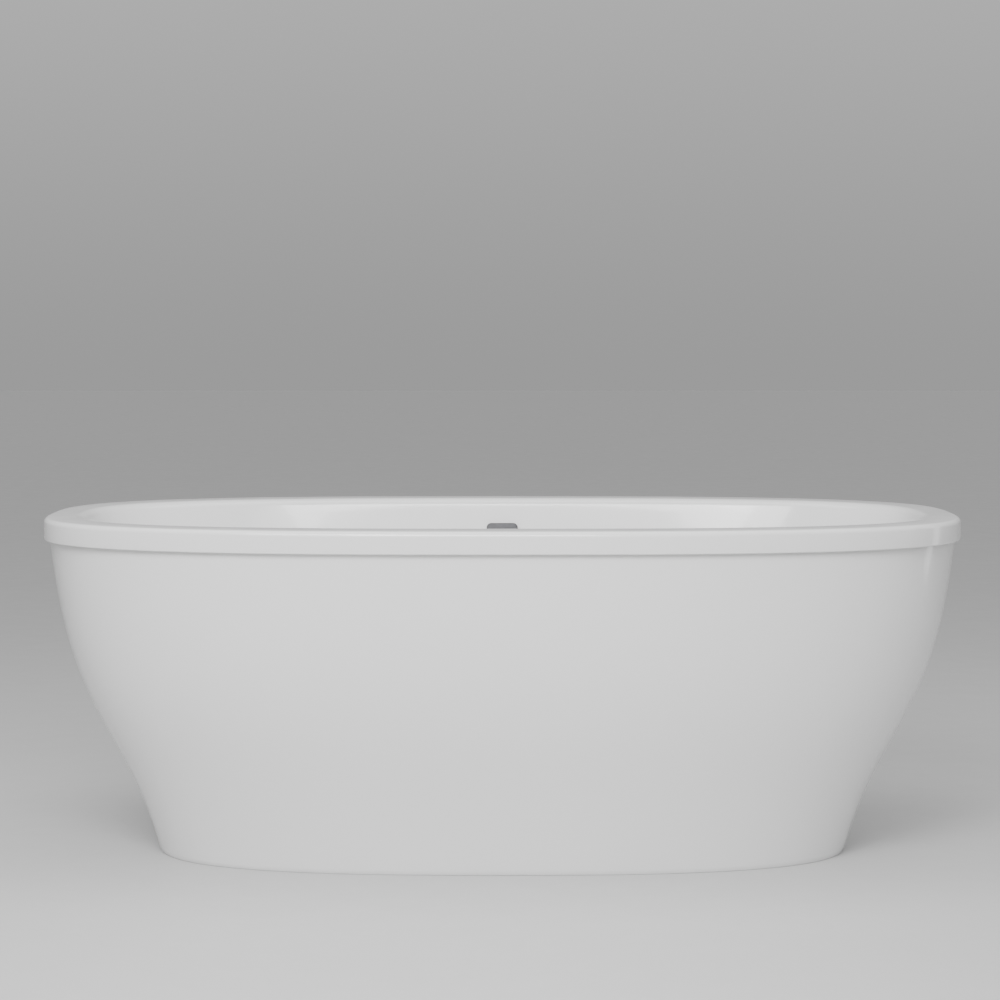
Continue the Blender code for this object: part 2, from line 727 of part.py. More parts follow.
def build_plug(chrome, brass, rubber, steel):
    """Push-to-open plug, rising along the drain axis."""
    axis = make_axis("plug_axis", (0, 0, FLANGE_SEAT))
    underside = FLANGE_THICKNESS + GAP
    edge_top = underside + CAP_EDGE
    seal_radius = THROAT_RADIUS - SEAL_CLEARANCE
    hole = STEM_RADIUS + GAP
    profile = [
        (0, -BOSS_LENGTH + STEM_INSERT + GAP),
        (hole, -BOSS_LENGTH + STEM_INSERT + GAP),
        (hole, -BOSS_LENGTH),
        (BOSS_RADIUS, -BOSS_LENGTH),
        (BOSS_RADIUS, GAP),
        (seal_radius - CAP_EDGE, GAP),
        (seal_radius - CAP_EDGE, underside),
        (CAP_RADIUS, underside),
    ]
    dome_steps = 5
    for step in range(dome_steps):
        share = step / dome_steps
        profile.append((CAP_RADIUS * math.sqrt(1 - share), edge_top + CAP_DOME * share))
    profile.append((0, edge_top + CAP_DOME))
    place("plug_cap", lathe("plug_cap", profile), chrome, axis)

    taper = (THROAT_RADIUS - BARREL_BORE) / THROAT_DEPTH
    profile = [
        (BOSS_RADIUS + GAP, 0),
        (seal_radius, 0),
        (seal_radius - taper * PLUG_SEAL_THICKNESS, -PLUG_SEAL_THICKNESS),
        (BOSS_RADIUS + GAP, -PLUG_SEAL_THICKNESS),
    ]
    place("plug_seal", lathe("plug_seal", profile), rubber, axis)

    stem_top = -BOSS_LENGTH + STEM_INSERT
    profile = [
        (0, -STEM_BOTTOM),
        (STEM_RADIUS, -STEM_BOTTOM),
        (STEM_RADIUS, -COLLAR_DEPTH - COLLAR_THICKNESS),
        (COLLAR_RADIUS, -COLLAR_DEPTH - COLLAR_THICKNESS),
        (COLLAR_RADIUS, -COLLAR_DEPTH),
        (STEM_RADIUS, -COLLAR_DEPTH),
        (STEM_RADIUS, stem_top),
        (0, stem_top),
    ]
    place("plug_stem", lathe("plug_stem", profile, PIPE_ROUND), steel, axis)

    base = -WEB_DEPTH + GAP
    cavity = base + CARTRIDGE_FLOOR
    spigot_end = base - SPIGOT_LENGTH
    profile = [
        (0, spigot_end),
        (SPIGOT_RADIUS, spigot_end),
        (SPIGOT_RADIUS, base),
        (CARTRIDGE_RADIUS, base),
        (CARTRIDGE_RADIUS, -CARTRIDGE_TOP),
        (CARTRIDGE_BORE, -CARTRIDGE_TOP),
        (CARTRIDGE_BORE, cavity),
        (0, cavity),
    ]
    place("plug_cartridge", lathe("plug_cartridge", profile, PIPE_ROUND), brass, axis)

    low = cavity + SPRING_WIRE + GAP
    high = -COLLAR_DEPTH - COLLAR_THICKNESS - SPRING_WIRE - GAP
    curve = bpy.data.curves.new("plug_spring", "CURVE")
    curve.dimensions = "3D"
    curve.bevel_depth = SPRING_WIRE
    curve.bevel_resolution = 0
    curve.use_fill_caps = True
    steps = SPRING_TURNS * ROD_ROUND
    spline = curve.splines.new("POLY")
    spline.points.add(steps)
    for index, point in enumerate(spline.points):
        angle = 2 * math.pi * index / ROD_ROUND
        height = low + (high - low) * index / steps
        point.co = (SPRING_RADIUS * math.cos(angle), SPRING_RADIUS * math.sin(angle), height, 1)
    place("plug_spring", curve, steel, axis)


def build_slip_joint(prefix, pipe_radius, plastic, rubber, location, rotation=(0, 0, 0), parent=None):
    """Slip nut and washer at a socket's mouth; local +Z points into the socket."""
    axis = make_axis(f"{prefix}_joint", location, rotation)
    axis.parent = parent
    bore = pipe_radius + GAP
    socket = bore + SOCKET_WALL
    sleeve = socket + GAP
    outside = sleeve + NUT_WALL
    step = -WASHER_HEIGHT - GAP
    bottom = step - NUT_LIP
    profile = [
        (bore, bottom),
        (outside, bottom),
        (outside, NUT_SLEEVE),
        (sleeve, NUT_SLEEVE),
        (sleeve, step),
        (bore, step),
    ]
    name = f"{prefix}_nut"
    place(name, lathe(name, profile, PIPE_ROUND), plastic, axis)
    profile = [(bore, step + GAP), (socket, step + GAP), (socket, -GAP), (bore, -GAP)]
    name = f"{prefix}_washer"
    place(name, lathe(name, profile, PIPE_ROUND), rubber, axis)


def build_tail(plastic, rubber):
    """Tail pipe under the shoe, ending just above the floor."""
    top = TAIL_MOUTH + SOCKET_DEPTH
    inner = TAIL_RADIUS - PIPE_WALL
    profile = [(inner, TAIL_BOTTOM), (TAIL_RADIUS, TAIL_BOTTOM), (TAIL_RADIUS, top), (inner, top)]
    place("tail_pipe", lathe("tail_pipe", profile, PIPE_ROUND), plastic)
    build_slip_joint("tail", TAIL_RADIUS, plastic, rubber, (0, 0, TAIL_MOUTH))


def overflow_frame():
    """Place and tilt of the overflow, on the basin's inner face of the +Y wall."""
    _, half_width, _ = basin_section(COVER_CENTRE)
    return (0, half_width, COVER_CENTRE), (-SIDE_SLOPE, 0, 0)


def plate_rings(width, height, corner, back, front):
    """Rings of a plate's outline at its back and its front."""
    return [rounded_rectangle(width, height, corner, depth) for depth in (back, front)]


def build_overflow_trim(axis, chrome, steel):
    """Cover, bracket and two screws on the bath side of the overflow."""
    front = -GAP - COVER_DEPTH
    cavity_width = COVER_WIDTH - 2 * COVER_WALL
    cavity_height = COVER_HEIGHT - 2 * COVER_WALL
    cavity_corner = COVER_CORNER - COVER_WALL
    edge = 2 * COVER_EDGE
    rings = [
        rounded_rectangle(COVER_WIDTH - edge, COVER_HEIGHT - edge, COVER_CORNER - COVER_EDGE, front),
        rounded_rectangle(COVER_WIDTH, COVER_HEIGHT, COVER_CORNER, front + COVER_EDGE),
        rounded_rectangle(COVER_WIDTH, COVER_HEIGHT, COVER_CORNER, -GAP),
        rounded_rectangle(cavity_width, cavity_height, cavity_corner, -GAP),
        rounded_rectangle(cavity_width, cavity_height, cavity_corner, front + COVER_WALL),
    ]
    mesh = loft("overflow_cover", rings, closed=False, capped=True)
    cover = place("overflow_cover", mesh, chrome, axis)
    slot_centre = (0, -COVER_HEIGHT / 2)
    slot_rings = rectangle("Y", slot_centre, front + COVER_WALL, SHELL, COVER_SLOT_WIDTH, COVER_CORNER)
    slot = loft("cover_slot_cutter", slot_rings, closed=False, capped=True)
    combine(cover, make_cutter("cover_slot_cutter", slot, axis))

    back = -GAP
    face = back - BRACKET_THICKNESS
    plate = plate_rings(BRACKET_WIDTH, BRACKET_HEIGHT, OVERFLOW_HOLE_CORNER, back, face)
    window = plate_rings(BRACKET_WINDOW_WIDTH, BRACKET_WINDOW_HEIGHT, COVER_WALL, back, face)
    mesh = loft("overflow_bracket", [plate[0], plate[1], window[1], window[0]])
    bracket = place("overflow_bracket", mesh, steel, axis)
    turn = (-math.pi / 2, 0, 0)
    for number, side in enumerate((-1, 1), 1):
        centre = (side * SCREW_SPREAD, 0, 0)
        name = f"bracket_hole_cutter_{number}"
        mesh = rod(name, SCREW_RADIUS + STUD_CLEARANCE, -SHELL, SHELL)
        combine(bracket, make_cutter(name, mesh, axis, centre, turn))
        name = f"overflow_screw_{number}"
        head = face - GAP
        profile = [
            (0, head - SCREW_HEAD_HEIGHT),
            (SCREW_HEAD_RADIUS, head - SCREW_HEAD_HEIGHT),
            (SCREW_HEAD_RADIUS, head),
            (SCREW_RADIUS, head),
            (SCREW_RADIUS, head + SCREW_LENGTH),
            (0, head + SCREW_LENGTH),
        ]
        place(name, lathe(name, profile, ROD_ROUND), steel, axis, centre, turn)


def build_overflow_body(axis, plastic, rubber):
    """Gasket and hollow elbow behind the wall, with a socket for the pipe."""
    outer = plate_rings(
        BODY_FLANGE_WIDTH, BODY_FLANGE_HEIGHT, BODY_CORNER, SHELL + GAP, BODY_FACE - GAP
    )
    inner = plate_rings(
        OVERFLOW_HOLE_WIDTH, OVERFLOW_HOLE_HEIGHT, OVERFLOW_HOLE_CORNER, SHELL + GAP, BODY_FACE - GAP
    )
    mesh = loft("overflow_gasket", [outer[0], outer[1], inner[1], inner[0]])
    place("overflow_gasket", mesh, rubber, axis)

    shoulder = BODY_FACE + BODY_FLANGE_THICKNESS
    flange = plate_rings(BODY_FLANGE_WIDTH, BODY_FLANGE_HEIGHT, BODY_CORNER, BODY_FACE, shoulder)
    chamber = plate_rings(BODY_WIDTH, BODY_FLANGE_HEIGHT - GAP, BODY_CORNER, shoulder, BODY_BACK)
    mesh = loft("overflow_body", flange + chamber, closed=False, capped=True)
    body = place("overflow_body", mesh, plastic, axis)
    socket_place = (0, SOCKET_OFFSET, 0)
    mesh = rod("socket_outside", BRANCH_RADIUS, BODY_MOUTH, 0, PIPE_ROUND)
    combine(body, make_cutter("socket_outside", mesh, axis, socket_place), "UNION")
    hollow_height = BODY_FLANGE_HEIGHT - 2 * BODY_WALL
    rings = plate_rings(
        BODY_WIDTH - 2 * BODY_WALL, hollow_height, BODY_CORNER - BODY_WALL,
        shoulder, BODY_BACK - BODY_WALL,
    )
    hollow = loft("body_hollow_cutter", rings, closed=False, capped=True)
    combine(body, make_cutter("body_hollow_cutter", hollow, axis))
    rings = plate_rings(
        BRACKET_WINDOW_WIDTH, BRACKET_WINDOW_HEIGHT, COVER_WALL, 0, shoulder + BODY_WALL
    )
    window = loft("body_window_cutter", rings, closed=False, capped=True)
    combine(body, make_cutter("body_window_cutter", window, axis))
    bore = rod("socket_bore_cutter", OVERFLOW_PIPE_RADIUS + GAP, BODY_MOUTH - SHELL, 0, PIPE_ROUND)
    combine(body, make_cutter("socket_bore_cutter", bore, axis, socket_place))
    turn = (-math.pi / 2, 0, 0)
    for number, side in enumerate((-1, 1), 1):
        name = f"body_hole_cutter_{number}"
        mesh = rod(name, SCREW_RADIUS + STUD_CLEARANCE, 0, shoulder + BODY_WALL)
        combine(body, make_cutter(name, mesh, axis, (side * SCREW_SPREAD, 0, 0), turn))


def overflow_route():
    """Centre points of the overflow pipe, from the elbow's socket to the shoe's branch."""
    origin, _ = overflow_frame()
    outward = Vector((0, math.cos(SIDE_SLOPE), -math.sin(SIDE_SLOPE)))
    down = Vector((0, -math.sin(SIDE_SLOPE), -math.cos(SIDE_SLOPE)))
    start = Vector(origin) + outward * SOCKET_OFFSET - down * (BODY_MOUTH + SOCKET_DEPTH)
    clear = start + down * (SOCKET_DEPTH + NUT_SLEEVE)
    bend_height = BRANCH_HEIGHT + PIPE_BEND_RISE
    basin_face = basin_section(bend_height)[1] + SHELL
    halfway = (basin_face + skirt_reach(0, bend_height)) / 2
    bend_start = Vector((0, halfway, bend_height))
    bend_end = Vector((0, halfway - PIPE_SWEEP, BRANCH_HEIGHT))
    upper = bend_start + (bend_start - clear).normalized() * PIPE_UPPER_HANDLE
    lower = bend_end + Vector((0, PIPE_LOWER_HANDLE, 0))
    points = [start, clear]
    for step in range(PIPE_BEND_STEPS + 1):
        share = step / PIPE_BEND_STEPS
        rest = 1 - share
        point = bend_start * rest**3 + upper * (3 * rest * rest * share)
        point += lower * (3 * rest * share * share) + bend_end * share**3
        points.append(point)
    points.append(Vector((0, BRANCH_LENGTH - SOCKET_DEPTH, BRANCH_HEIGHT)))
    return points


def build_overflow_pipe(axis, plastic, rubber):
    """Rigid pipe in the space between the shells, with a slip joint at each end."""
    points = overflow_route()
    sideways = Vector((1, 0, 0))
    outside, inside = [], []
    for index, point in enumerate(points):
        before = points[max(index - 1, 0)]
        after = points[min(index + 1, len(points) - 1)]
        normal = (after - before).normalized().cross(sideways)
        for rings, radius in (
            (outside, OVERFLOW_PIPE_RADIUS),
            (inside, OVERFLOW_PIPE_RADIUS - PIPE_WALL),
        ):
            ring = []
            for step in range(PIPE_ROUND):
                angle = 2 * math.pi * step / PIPE_ROUND
                ring.append(point + (sideways * math.cos(angle) + normal * math.sin(angle)) * radius)
            rings.append(ring)
    mesh = loft("overflow_pipe", outside + inside[::-1])
    place("overflow_pipe", mesh, plastic)
    radius = OVERFLOW_PIPE_RADIUS
    build_slip_joint("elbow", radius, plastic, rubber, (0, SOCKET_OFFSET, BODY_MOUTH), parent=axis)
    turn = (math.pi / 2, 0, 0)
    build_slip_joint("branch", radius, plastic, rubber, (0, BRANCH_LENGTH, BRANCH_HEIGHT), turn)


def main():
    """Build the whole bath."""
    clear_scene()
    acrylic = make_material("acrylic", (0.86, 0.86, 0.85), 0.12)
    adhesive = make_material("adhesive", (0.80, 0.80, 0.78), 0.5)
    board = make_material("board", (0.55, 0.42, 0.28), 0.7)
    galvanised = make_material("galvanised", (0.55, 0.56, 0.57), 0.45, 1.0)
    zinc = make_material("zinc", (0.68, 0.67, 0.62), 0.3, 1.0)
    chrome = make_material("chrome", (0.80, 0.80, 0.82), 0.06, 1.0)
    brass = make_material("brass", (0.72, 0.57, 0.30), 0.3, 1.0)
    plastic = make_material("plastic", (0.82, 0.82, 0.80), 0.4)
    rubber = make_material("rubber", (0.05, 0.05, 0.05), 0.8)
    overflow_place, overflow_tilt = overflow_frame()
    overflow_axis = make_axis("overflow_axis", overflow_place, overflow_tilt)
    build_basin(acrylic, overflow_axis)
    build_skirt(acrylic)
    build_rim_bond(adhesive)
    build_board(board)
    build_frame(galvanised)
    build_blocks(board)
    build_feet(zinc, rubber)
    build_waste(chrome, plastic, rubber)
    build_plug(chrome, brass, rubber, zinc)
    build_tail(plastic, rubber)
    build_overflow_trim(overflow_axis, chrome, zinc)
    build_overflow_body(overflow_axis, plastic, rubber)
    build_overflow_pipe(overflow_axis, plastic, rubber)


main()
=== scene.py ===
"""Looks of a double-ended freestanding bath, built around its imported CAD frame."""
from __future__ import annotations

import logging
import math
from dataclasses import dataclass
from enum import Enum
from functools import cached_property
from typing import Callable, Sequence

import bmesh
import bpy
from mathutils import Euler, Matrix, Vector


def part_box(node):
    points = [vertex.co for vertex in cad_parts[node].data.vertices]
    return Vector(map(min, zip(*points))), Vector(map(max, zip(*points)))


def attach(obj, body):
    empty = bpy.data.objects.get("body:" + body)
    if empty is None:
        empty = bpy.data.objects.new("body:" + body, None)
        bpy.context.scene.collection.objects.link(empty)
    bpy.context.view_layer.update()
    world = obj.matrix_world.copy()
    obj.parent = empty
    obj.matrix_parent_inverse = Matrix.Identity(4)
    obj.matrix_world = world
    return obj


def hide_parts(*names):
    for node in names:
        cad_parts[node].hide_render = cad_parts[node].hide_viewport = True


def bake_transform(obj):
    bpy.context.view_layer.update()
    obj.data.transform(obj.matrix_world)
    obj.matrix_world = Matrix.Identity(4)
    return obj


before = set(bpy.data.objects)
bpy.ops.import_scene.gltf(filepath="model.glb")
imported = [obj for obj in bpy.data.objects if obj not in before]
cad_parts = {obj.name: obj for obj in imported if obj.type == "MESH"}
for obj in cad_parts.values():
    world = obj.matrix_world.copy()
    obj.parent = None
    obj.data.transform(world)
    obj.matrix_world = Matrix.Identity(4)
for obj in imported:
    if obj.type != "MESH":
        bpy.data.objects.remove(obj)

LOG = logging.getLogger("bath")
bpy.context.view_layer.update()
FIT = 0.0003
MARGIN = 0.002
OVERRUN = 0.007
TUB, PLUG = "tub", "plug"
QUARTER = math.pi / 2

Pair = tuple[float, float]
Triple = tuple[float, float, float]
Ring = list[Vector]
Socket = bpy.types.NodeSocket
Mesh = bpy.types.Mesh
Piece = bpy.types.Object
NIL: Triple = (0.0, 0.0, 0.0)
ALONG_Y: Triple = (-QUARTER, 0.0, 0.0)


class Slot(Enum):
    """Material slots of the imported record."""

    ACRYLIC = "acrylic"
    ADHESIVE = "adhesive"
    BOARD = "board"
    GALVANISED = "galvanised"
    ZINC = "zinc"
    CHROME = "chrome"
    BRASS = "brass"
    PLUMBING = "plumbing"
    RUBBER = "rubber"


# ------------------------------------------------------------------------------------ finishes


class NodeBench:
    """Lays out the node tree of one material."""

    def __init__(self, name: str) -> None:
        """Start a material with a Principled shader.

        Args:
            name: name of the new material.
        """
        self.material = bpy.data.materials.new(name)
        self.material.use_nodes = True
        self.tree = self.material.node_tree
        self.shader = self.tree.nodes["Principled BSDF"]
        self.place = self.add("ShaderNodeTexCoord").outputs["Object"]

    def add(self, kind: str, **inputs: object) -> bpy.types.Node:
        """Add a node.

        Args:
            kind: Blender's node type.
            **inputs: socket values, with an underscore for each space in the socket's name.

        Returns:
            The new node.
        """
        return set_sockets(self.tree.nodes.new(kind), inputs)

    def fix(self, **inputs: object) -> None:
        """Set the shader's own sockets, with an underscore for each space."""
        set_sockets(self.shader, inputs)

    def link(self, source: Socket, target: Socket) -> None:
        """Join an output socket to an input socket."""
        self.tree.links.new(source, target)

    def stretched(self, scale: Triple) -> Socket:
        """Give object coordinates scaled on each axis.

        Args:
            scale: factor for X, Y and Z.

        Returns:
            The scaled vector's socket.
        """
        mapping = self.add("ShaderNodeMapping", Scale=scale)
        self.link(self.place, mapping.inputs["Vector"])
        return mapping.outputs["Vector"]

    def noise(self, scale: float, detail: float = 2.0, vector: Socket | None = None) -> Socket:
        """Add a noise pattern.

        Args:
            scale: cells per metre, roughly.
            detail: octaves of finer noise.
            vector: coordinates to read, or None for the object's own.

        Returns:
            The factor socket.
        """
        node = self.add("ShaderNodeTexNoise", Scale=scale, Detail=detail, Roughness=0.55)
        self.link(vector or self.place, node.inputs["Vector"])
        return node.outputs["Fac"]

    def cells(self, scale: float) -> tuple[Socket, Socket]:
        """Add a pattern of cells.

        Args:
            scale: cells per metre.

        Returns:
            The grey of each cell, and the distance from its middle.
        """
        node = self.add("ShaderNodeTexVoronoi", Scale=scale)
        self.link(self.place, node.inputs["Vector"])
        shade = self.add("ShaderNodeRGBToBW")
        self.link(node.outputs["Color"], shade.inputs["Color"])
        return shade.outputs["Val"], node.outputs["Distance"]

    def tint(self, pattern: Socket, dark: Triple, light: Triple) -> None:
        """Colour the shader between two tones by a pattern.

        Args:
            pattern: the pattern.
            dark: colour where it is low.
            light: colour where it is high.
        """
        ramp = self.add("ShaderNodeValToRGB")
        stops = ramp.color_ramp.elements
        for stop, position, colour in zip(stops, (0.3, 0.7), (dark, light)):
            stop.position = position
            stop.color = (*colour, 1.0)
        self.link(pattern, ramp.inputs["Fac"])
        self.link(ramp.outputs["Color"], self.shader.inputs["Base Color"])

    def roughen(self, pattern: Socket, low: float, high: float) -> None:
        """Vary the shader's roughness by a pattern.

        Args:
            pattern: the pattern.
            low: roughness where it is low.
            high: roughness where it is high.
        """
        node = self.add("ShaderNodeMapRange", From_Min=0.3, From_Max=0.7, To_Min=low, To_Max=high)
        self.link(pattern, node.inputs["Value"])
        self.link(node.outputs["Result"], self.shader.inputs["Roughness"])

    def emboss(self, *layers: tuple[Socket, float, float]) -> None:
        """Stack bump layers on the shader.

        Args:
            *layers: pattern, strength and height in metres of each layer.
        """
        below = None
        for pattern, strength, height in layers:
            bump = self.add("ShaderNodeBump", Strength=strength, Distance=height)
            self.link(pattern, bump.inputs["Height"])
            if below:
                self.link(below, bump.inputs["Normal"])
            below = bump.outputs["Normal"]
        self.link(below, self.shader.inputs["Normal"])


def set_sockets(node: bpy.types.Node, inputs: dict[str, object]) -> bpy.types.Node:
    """Set a node's own values.

    Args:
        node: the node.
        inputs: values by socket name, with an underscore for each space.

    Returns:
        The node.
    """
    for socket, value in inputs.items():
        node.inputs[socket.replace("_", " ")].default_value = value
    return node


@dataclass(frozen=True)
class Finish:
    """A surface that varies between two tones and two values of roughness."""

    name: str
    slot: Slot | None
    light: Triple
    dark: Triple
    roughness: Pair

    @cached_property
    def material(self) -> bpy.types.Material:
        """Make the material when it is first needed.

        Returns:
            The material.
        """
        bench = NodeBench(self.name)
        self.lay(bench)
        return bench.material

    def lay(self, bench: NodeBench) -> None:
        """Lay out the nodes on a bench."""
        raise NotImplementedError


@dataclass(frozen=True)
class GlossAcrylic(Finish):
    """Cast sanitary acrylic: glossy, with the faint waves of a formed sheet."""

    wave_height: float = 0.0007
    peel_height: float = 0.00004

    def lay(self, bench: NodeBench) -> None:
        """Lay out the nodes.

        Args:
            bench: where they are laid out.
        """
        bench.tint(bench.noise(1.7, 3.0), self.dark, self.light)
        bench.roughen(bench.noise(14.0, 4.0), *self.roughness)
        wave, peel = bench.noise(3.2, 1.0), bench.noise(260.0, 1.0)
        bench.emboss((wave, 0.5, self.wave_height), (peel, 0.35, self.peel_height))
        bench.fix(IOR=1.49, Coat_Weight=0.35, Coat_Roughness=0.05, Coat_IOR=1.49)


@dataclass(frozen=True)
class StrandMat(Finish):
    """Chopped glass strands in resin on the hidden faces of both shells."""

    strand_scale: float = 55.0
    strand_height: float = 0.0008

    def lay(self, bench: NodeBench) -> None:
        """Lay out the nodes.

        Args:
            bench: where they are laid out.
        """
        along = bench.noise(self.strand_scale, 3.0, bench.stretched((1.0, 6.0, 6.0)))
        across = bench.noise(self.strand_scale, 3.0, bench.stretched((6.0, 1.0, 2.0)))
        bench.tint(along, self.dark, self.light)
        bench.roughen(across, *self.roughness)
        bench.emboss(*((strands, 0.7, self.strand_height) for strands in (along, across)))


@dataclass(frozen=True)
class Metal(Finish):
    """Bare or plated metal with fine wear and, where asked, crystal spangle."""

    grain: float = 120.0
    grain_height: float = 0.00003
    spangle: float = 0.0

    def lay(self, bench: NodeBench) -> None:
        """Lay out the nodes.

        Args:
            bench: where they are laid out.
        """
        fine = bench.noise(self.grain, 4.0)
        crystals = bench.cells(self.spangle)[0] if self.spangle else None
        bench.tint(crystals or bench.noise(self.grain / 6, 3.0), self.dark, self.light)
        bench.roughen(fine, *self.roughness)
        bench.emboss((fine, 0.4, self.grain_height))
        bench.fix(Metallic=1.0)


@dataclass(frozen=True)
class Moulding(Finish):
    """Moulded plastic, rubber or set adhesive with a fine grain."""

    grain: float = 900.0
    grain_height: float = 0.00006

    def lay(self, bench: NodeBench) -> None:
        """Lay out the nodes.

        Args:
            bench: where they are laid out.
        """
        bench.tint(bench.noise(22.0, 3.0), self.dark, self.light)
        bench.roughen(bench.noise(60.0, 4.0), *self.roughness)
        bench.emboss((bench.noise(self.grain, 2.0), 0.5, self.grain_height))


@dataclass(frozen=True)
class ChipBoard(Finish):
    """Pressed chips of wood under a thin resin coat."""

    def lay(self, bench: NodeBench) -> None:
        """Lay out the nodes.

        Args:
            bench: where they are laid out.
        """
        chips, edges = bench.cells(140.0)
        bench.tint(chips, self.dark, self.light)
        bench.roughen(bench.noise(90.0, 4.0), *self.roughness)
        bench.emboss((edges, 0.5, 0.0005), (bench.noise(500.0), 0.4, 0.0001))


@dataclass(frozen=True)
class PaleFloor(Finish):
    """Plain pale studio floor."""

    def lay(self, bench: NodeBench) -> None:
        """Lay out the nodes.

        Args:
            bench: where they are laid out.
        """
        bench.tint(bench.noise(2.0, 4.0), self.dark, self.light)
        bench.roughen(bench.noise(12.0, 3.0), *self.roughness)
        bench.fix(Specular_IOR_Level=0.25)


def grey(tone: float) -> Triple:
    """A neutral colour."""
    return tone, tone, tone


ACRYLIC = GlossAcrylic("gloss_acrylic", Slot.ACRYLIC, grey(0.80), grey(0.785), (0.13, 0.19))
STRAND = StrandMat("strand_mat", Slot.ACRYLIC, (0.72, 0.71, 0.64), (0.56, 0.55, 0.47), (0.35, 0.7))
BOARD = ChipBoard("chip_board", Slot.BOARD, (0.52, 0.39, 0.24), (0.27, 0.18, 0.10), (0.45, 0.75))
BOND = Moulding(
    "cured_bond", Slot.ADHESIVE, (0.74, 0.74, 0.71), (0.60, 0.60, 0.57), (0.35, 0.55), 300.0, 0.0002
)
CHROME = Metal(
    "polished_chrome", Slot.CHROME, (0.58, 0.59, 0.60), (0.52, 0.53, 0.54), (0.05, 0.11)
)
COVER = Metal("satin_chrome", Slot.CHROME, (0.11, 0.11, 0.115), (0.09, 0.09, 0.095), (0.5, 0.6))
GALVANISED = Metal(
    "galvanised_steel", Slot.GALVANISED, (0.66, 0.67, 0.69), (0.40, 0.41, 0.43), (0.32, 0.55),
    grain=160.0, grain_height=0.00008, spangle=90.0,
)
ZINC = Metal("zinc_plate", Slot.ZINC, (0.72, 0.71, 0.66), (0.58, 0.57, 0.50), (0.22, 0.38))
BRASS = Metal("turned_brass", Slot.BRASS, (0.78, 0.60, 0.30), (0.62, 0.46, 0.21), (0.2, 0.34))
PLASTIC = Moulding(
    "white_plumbing", Slot.PLUMBING, (0.74, 0.74, 0.72), (0.68, 0.68, 0.66), (0.3, 0.45)
)
RUBBER = Moulding("black_rubber", Slot.RUBBER, grey(0.045), grey(0.022), (0.6, 0.85))
FLOOR = PaleFloor("pale_floor", None, grey(0.59), grey(0.58), (0.45, 0.6))


# ---------------------------------------------------------------------------------- mesh tools


def make_mesh(
    name: str,
    rows: Sequence[Ring],
    closed: bool = False,
    caps: bool = False,
    lined_from: int | None = None,
    sharp: float = 35.0,
) -> Mesh:
    """Skin rings of points into a smooth mesh.

    Args:
        name: name of the mesh.
        rows: rings of equally many points, or single points at a pole.
        closed: whether the last ring joins the first.
        caps: whether the first and last rings get a face each.
        lined_from: ring from which the faces take the second material, or None.
        sharp: edges steeper than this, in degrees, stay sharp.

    Returns:
        The new mesh.
    """
    work = bmesh.new()
    verts = [[work.verts.new(point) for point in row] for row in rows]
    pairs = list(zip(verts, verts[1:]))
    if closed:
        pairs.append((verts[-1], verts[0]))
    for number, (low, high) in enumerate(pairs):
        count = max(len(low), len(high))
        for index in range(count):
            after = (index + 1) % count
            if len(low) == 1:
                corners = (low[0], high[after], high[index])
            elif len(high) == 1:
                corners = (low[index], low[after], high[0])
            else:
                corners = (low[index], low[after], high[after], high[index])
            face = work.faces.new(corners)
            face.material_index = int(lined_from is not None and number >= lined_from)
    if caps:
        work.faces.new(verts[0])
        work.faces.new(verts[-1])
    if closed or caps or len(verts[0]) == 1:
        bmesh.ops.recalc_face_normals(work, faces=work.faces)
    mesh = bpy.data.meshes.new(name)
    work.to_mesh(mesh)
    work.free()
    mesh.shade_smooth()
    mesh.set_sharp_from_angle(angle=math.radians(sharp))
    return mesh


def stand(name: str, data: bpy.types.ID) -> Piece:
    """Put a new object in the scene.

    Args:
        name: its name.
        data: its mesh, light or camera.

    Returns:
        The object.
    """
    item = bpy.data.objects.new(name, data)
    bpy.context.scene.collection.objects.link(item)
    return item


def add_piece(
    name: str,
    mesh: Mesh,
    finish: Finish,
    node: str | None,
    body: str | None = TUB,
    at: Sequence[float] = NIL,
    turn: Sequence[float] = NIL,
    lining: Finish | None = None,
) -> Piece:
    """Place a finished piece, riding on its body and standing for its CAD node.

    Args:
        name: name of the piece.
        mesh: its mesh.
        finish: its finish.
        node: CAD node that it replaces, or None for an added detail.
        body: CAD body that it rides on, or None for a piece that spans two bodies and stays
            unattached.
        at: its place.
        turn: its rotation as XYZ angles.
        lining: finish of its hidden faces, if they have their own.

    Returns:
        The piece.
    """
    piece = stand(name, mesh)
    piece.location = at
    piece.rotation_euler = turn
    if not mesh.materials:
        for coat in (finish, lining) if lining else (finish,):
            mesh.materials.append(coat.material)
    if body:
        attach(piece, body)
    if node:
        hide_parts(node)
    LOG.info("%s for %s on %s", name, node, body)
    return piece


def centre(node: str) -> Triple:
    """Middle of a CAD node's box."""
    x, y, z = ((low + high) / 2 for low, high in zip(*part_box(node)))
    return x, y, z


def span(node: str) -> Pair:
    """Lowest and highest Z of a CAD node."""
    low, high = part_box(node)
    return low[2], high[2]


def polar(reach: float, angle: float, height: float = 0.0) -> Vector:
    """Point at a distance and angle about Z."""
    return Vector((reach * math.cos(angle), reach * math.sin(angle), height))


def quarter(radius: float, steps: int) -> list[Pair]:
    """Points of a quarter round, as distances from its two tangent sides."""
    turns = [QUARTER * step / steps for step in range(steps + 1)]
    return [(radius * (1 - math.sin(turn)), radius * (1 - math.cos(turn))) for turn in turns]


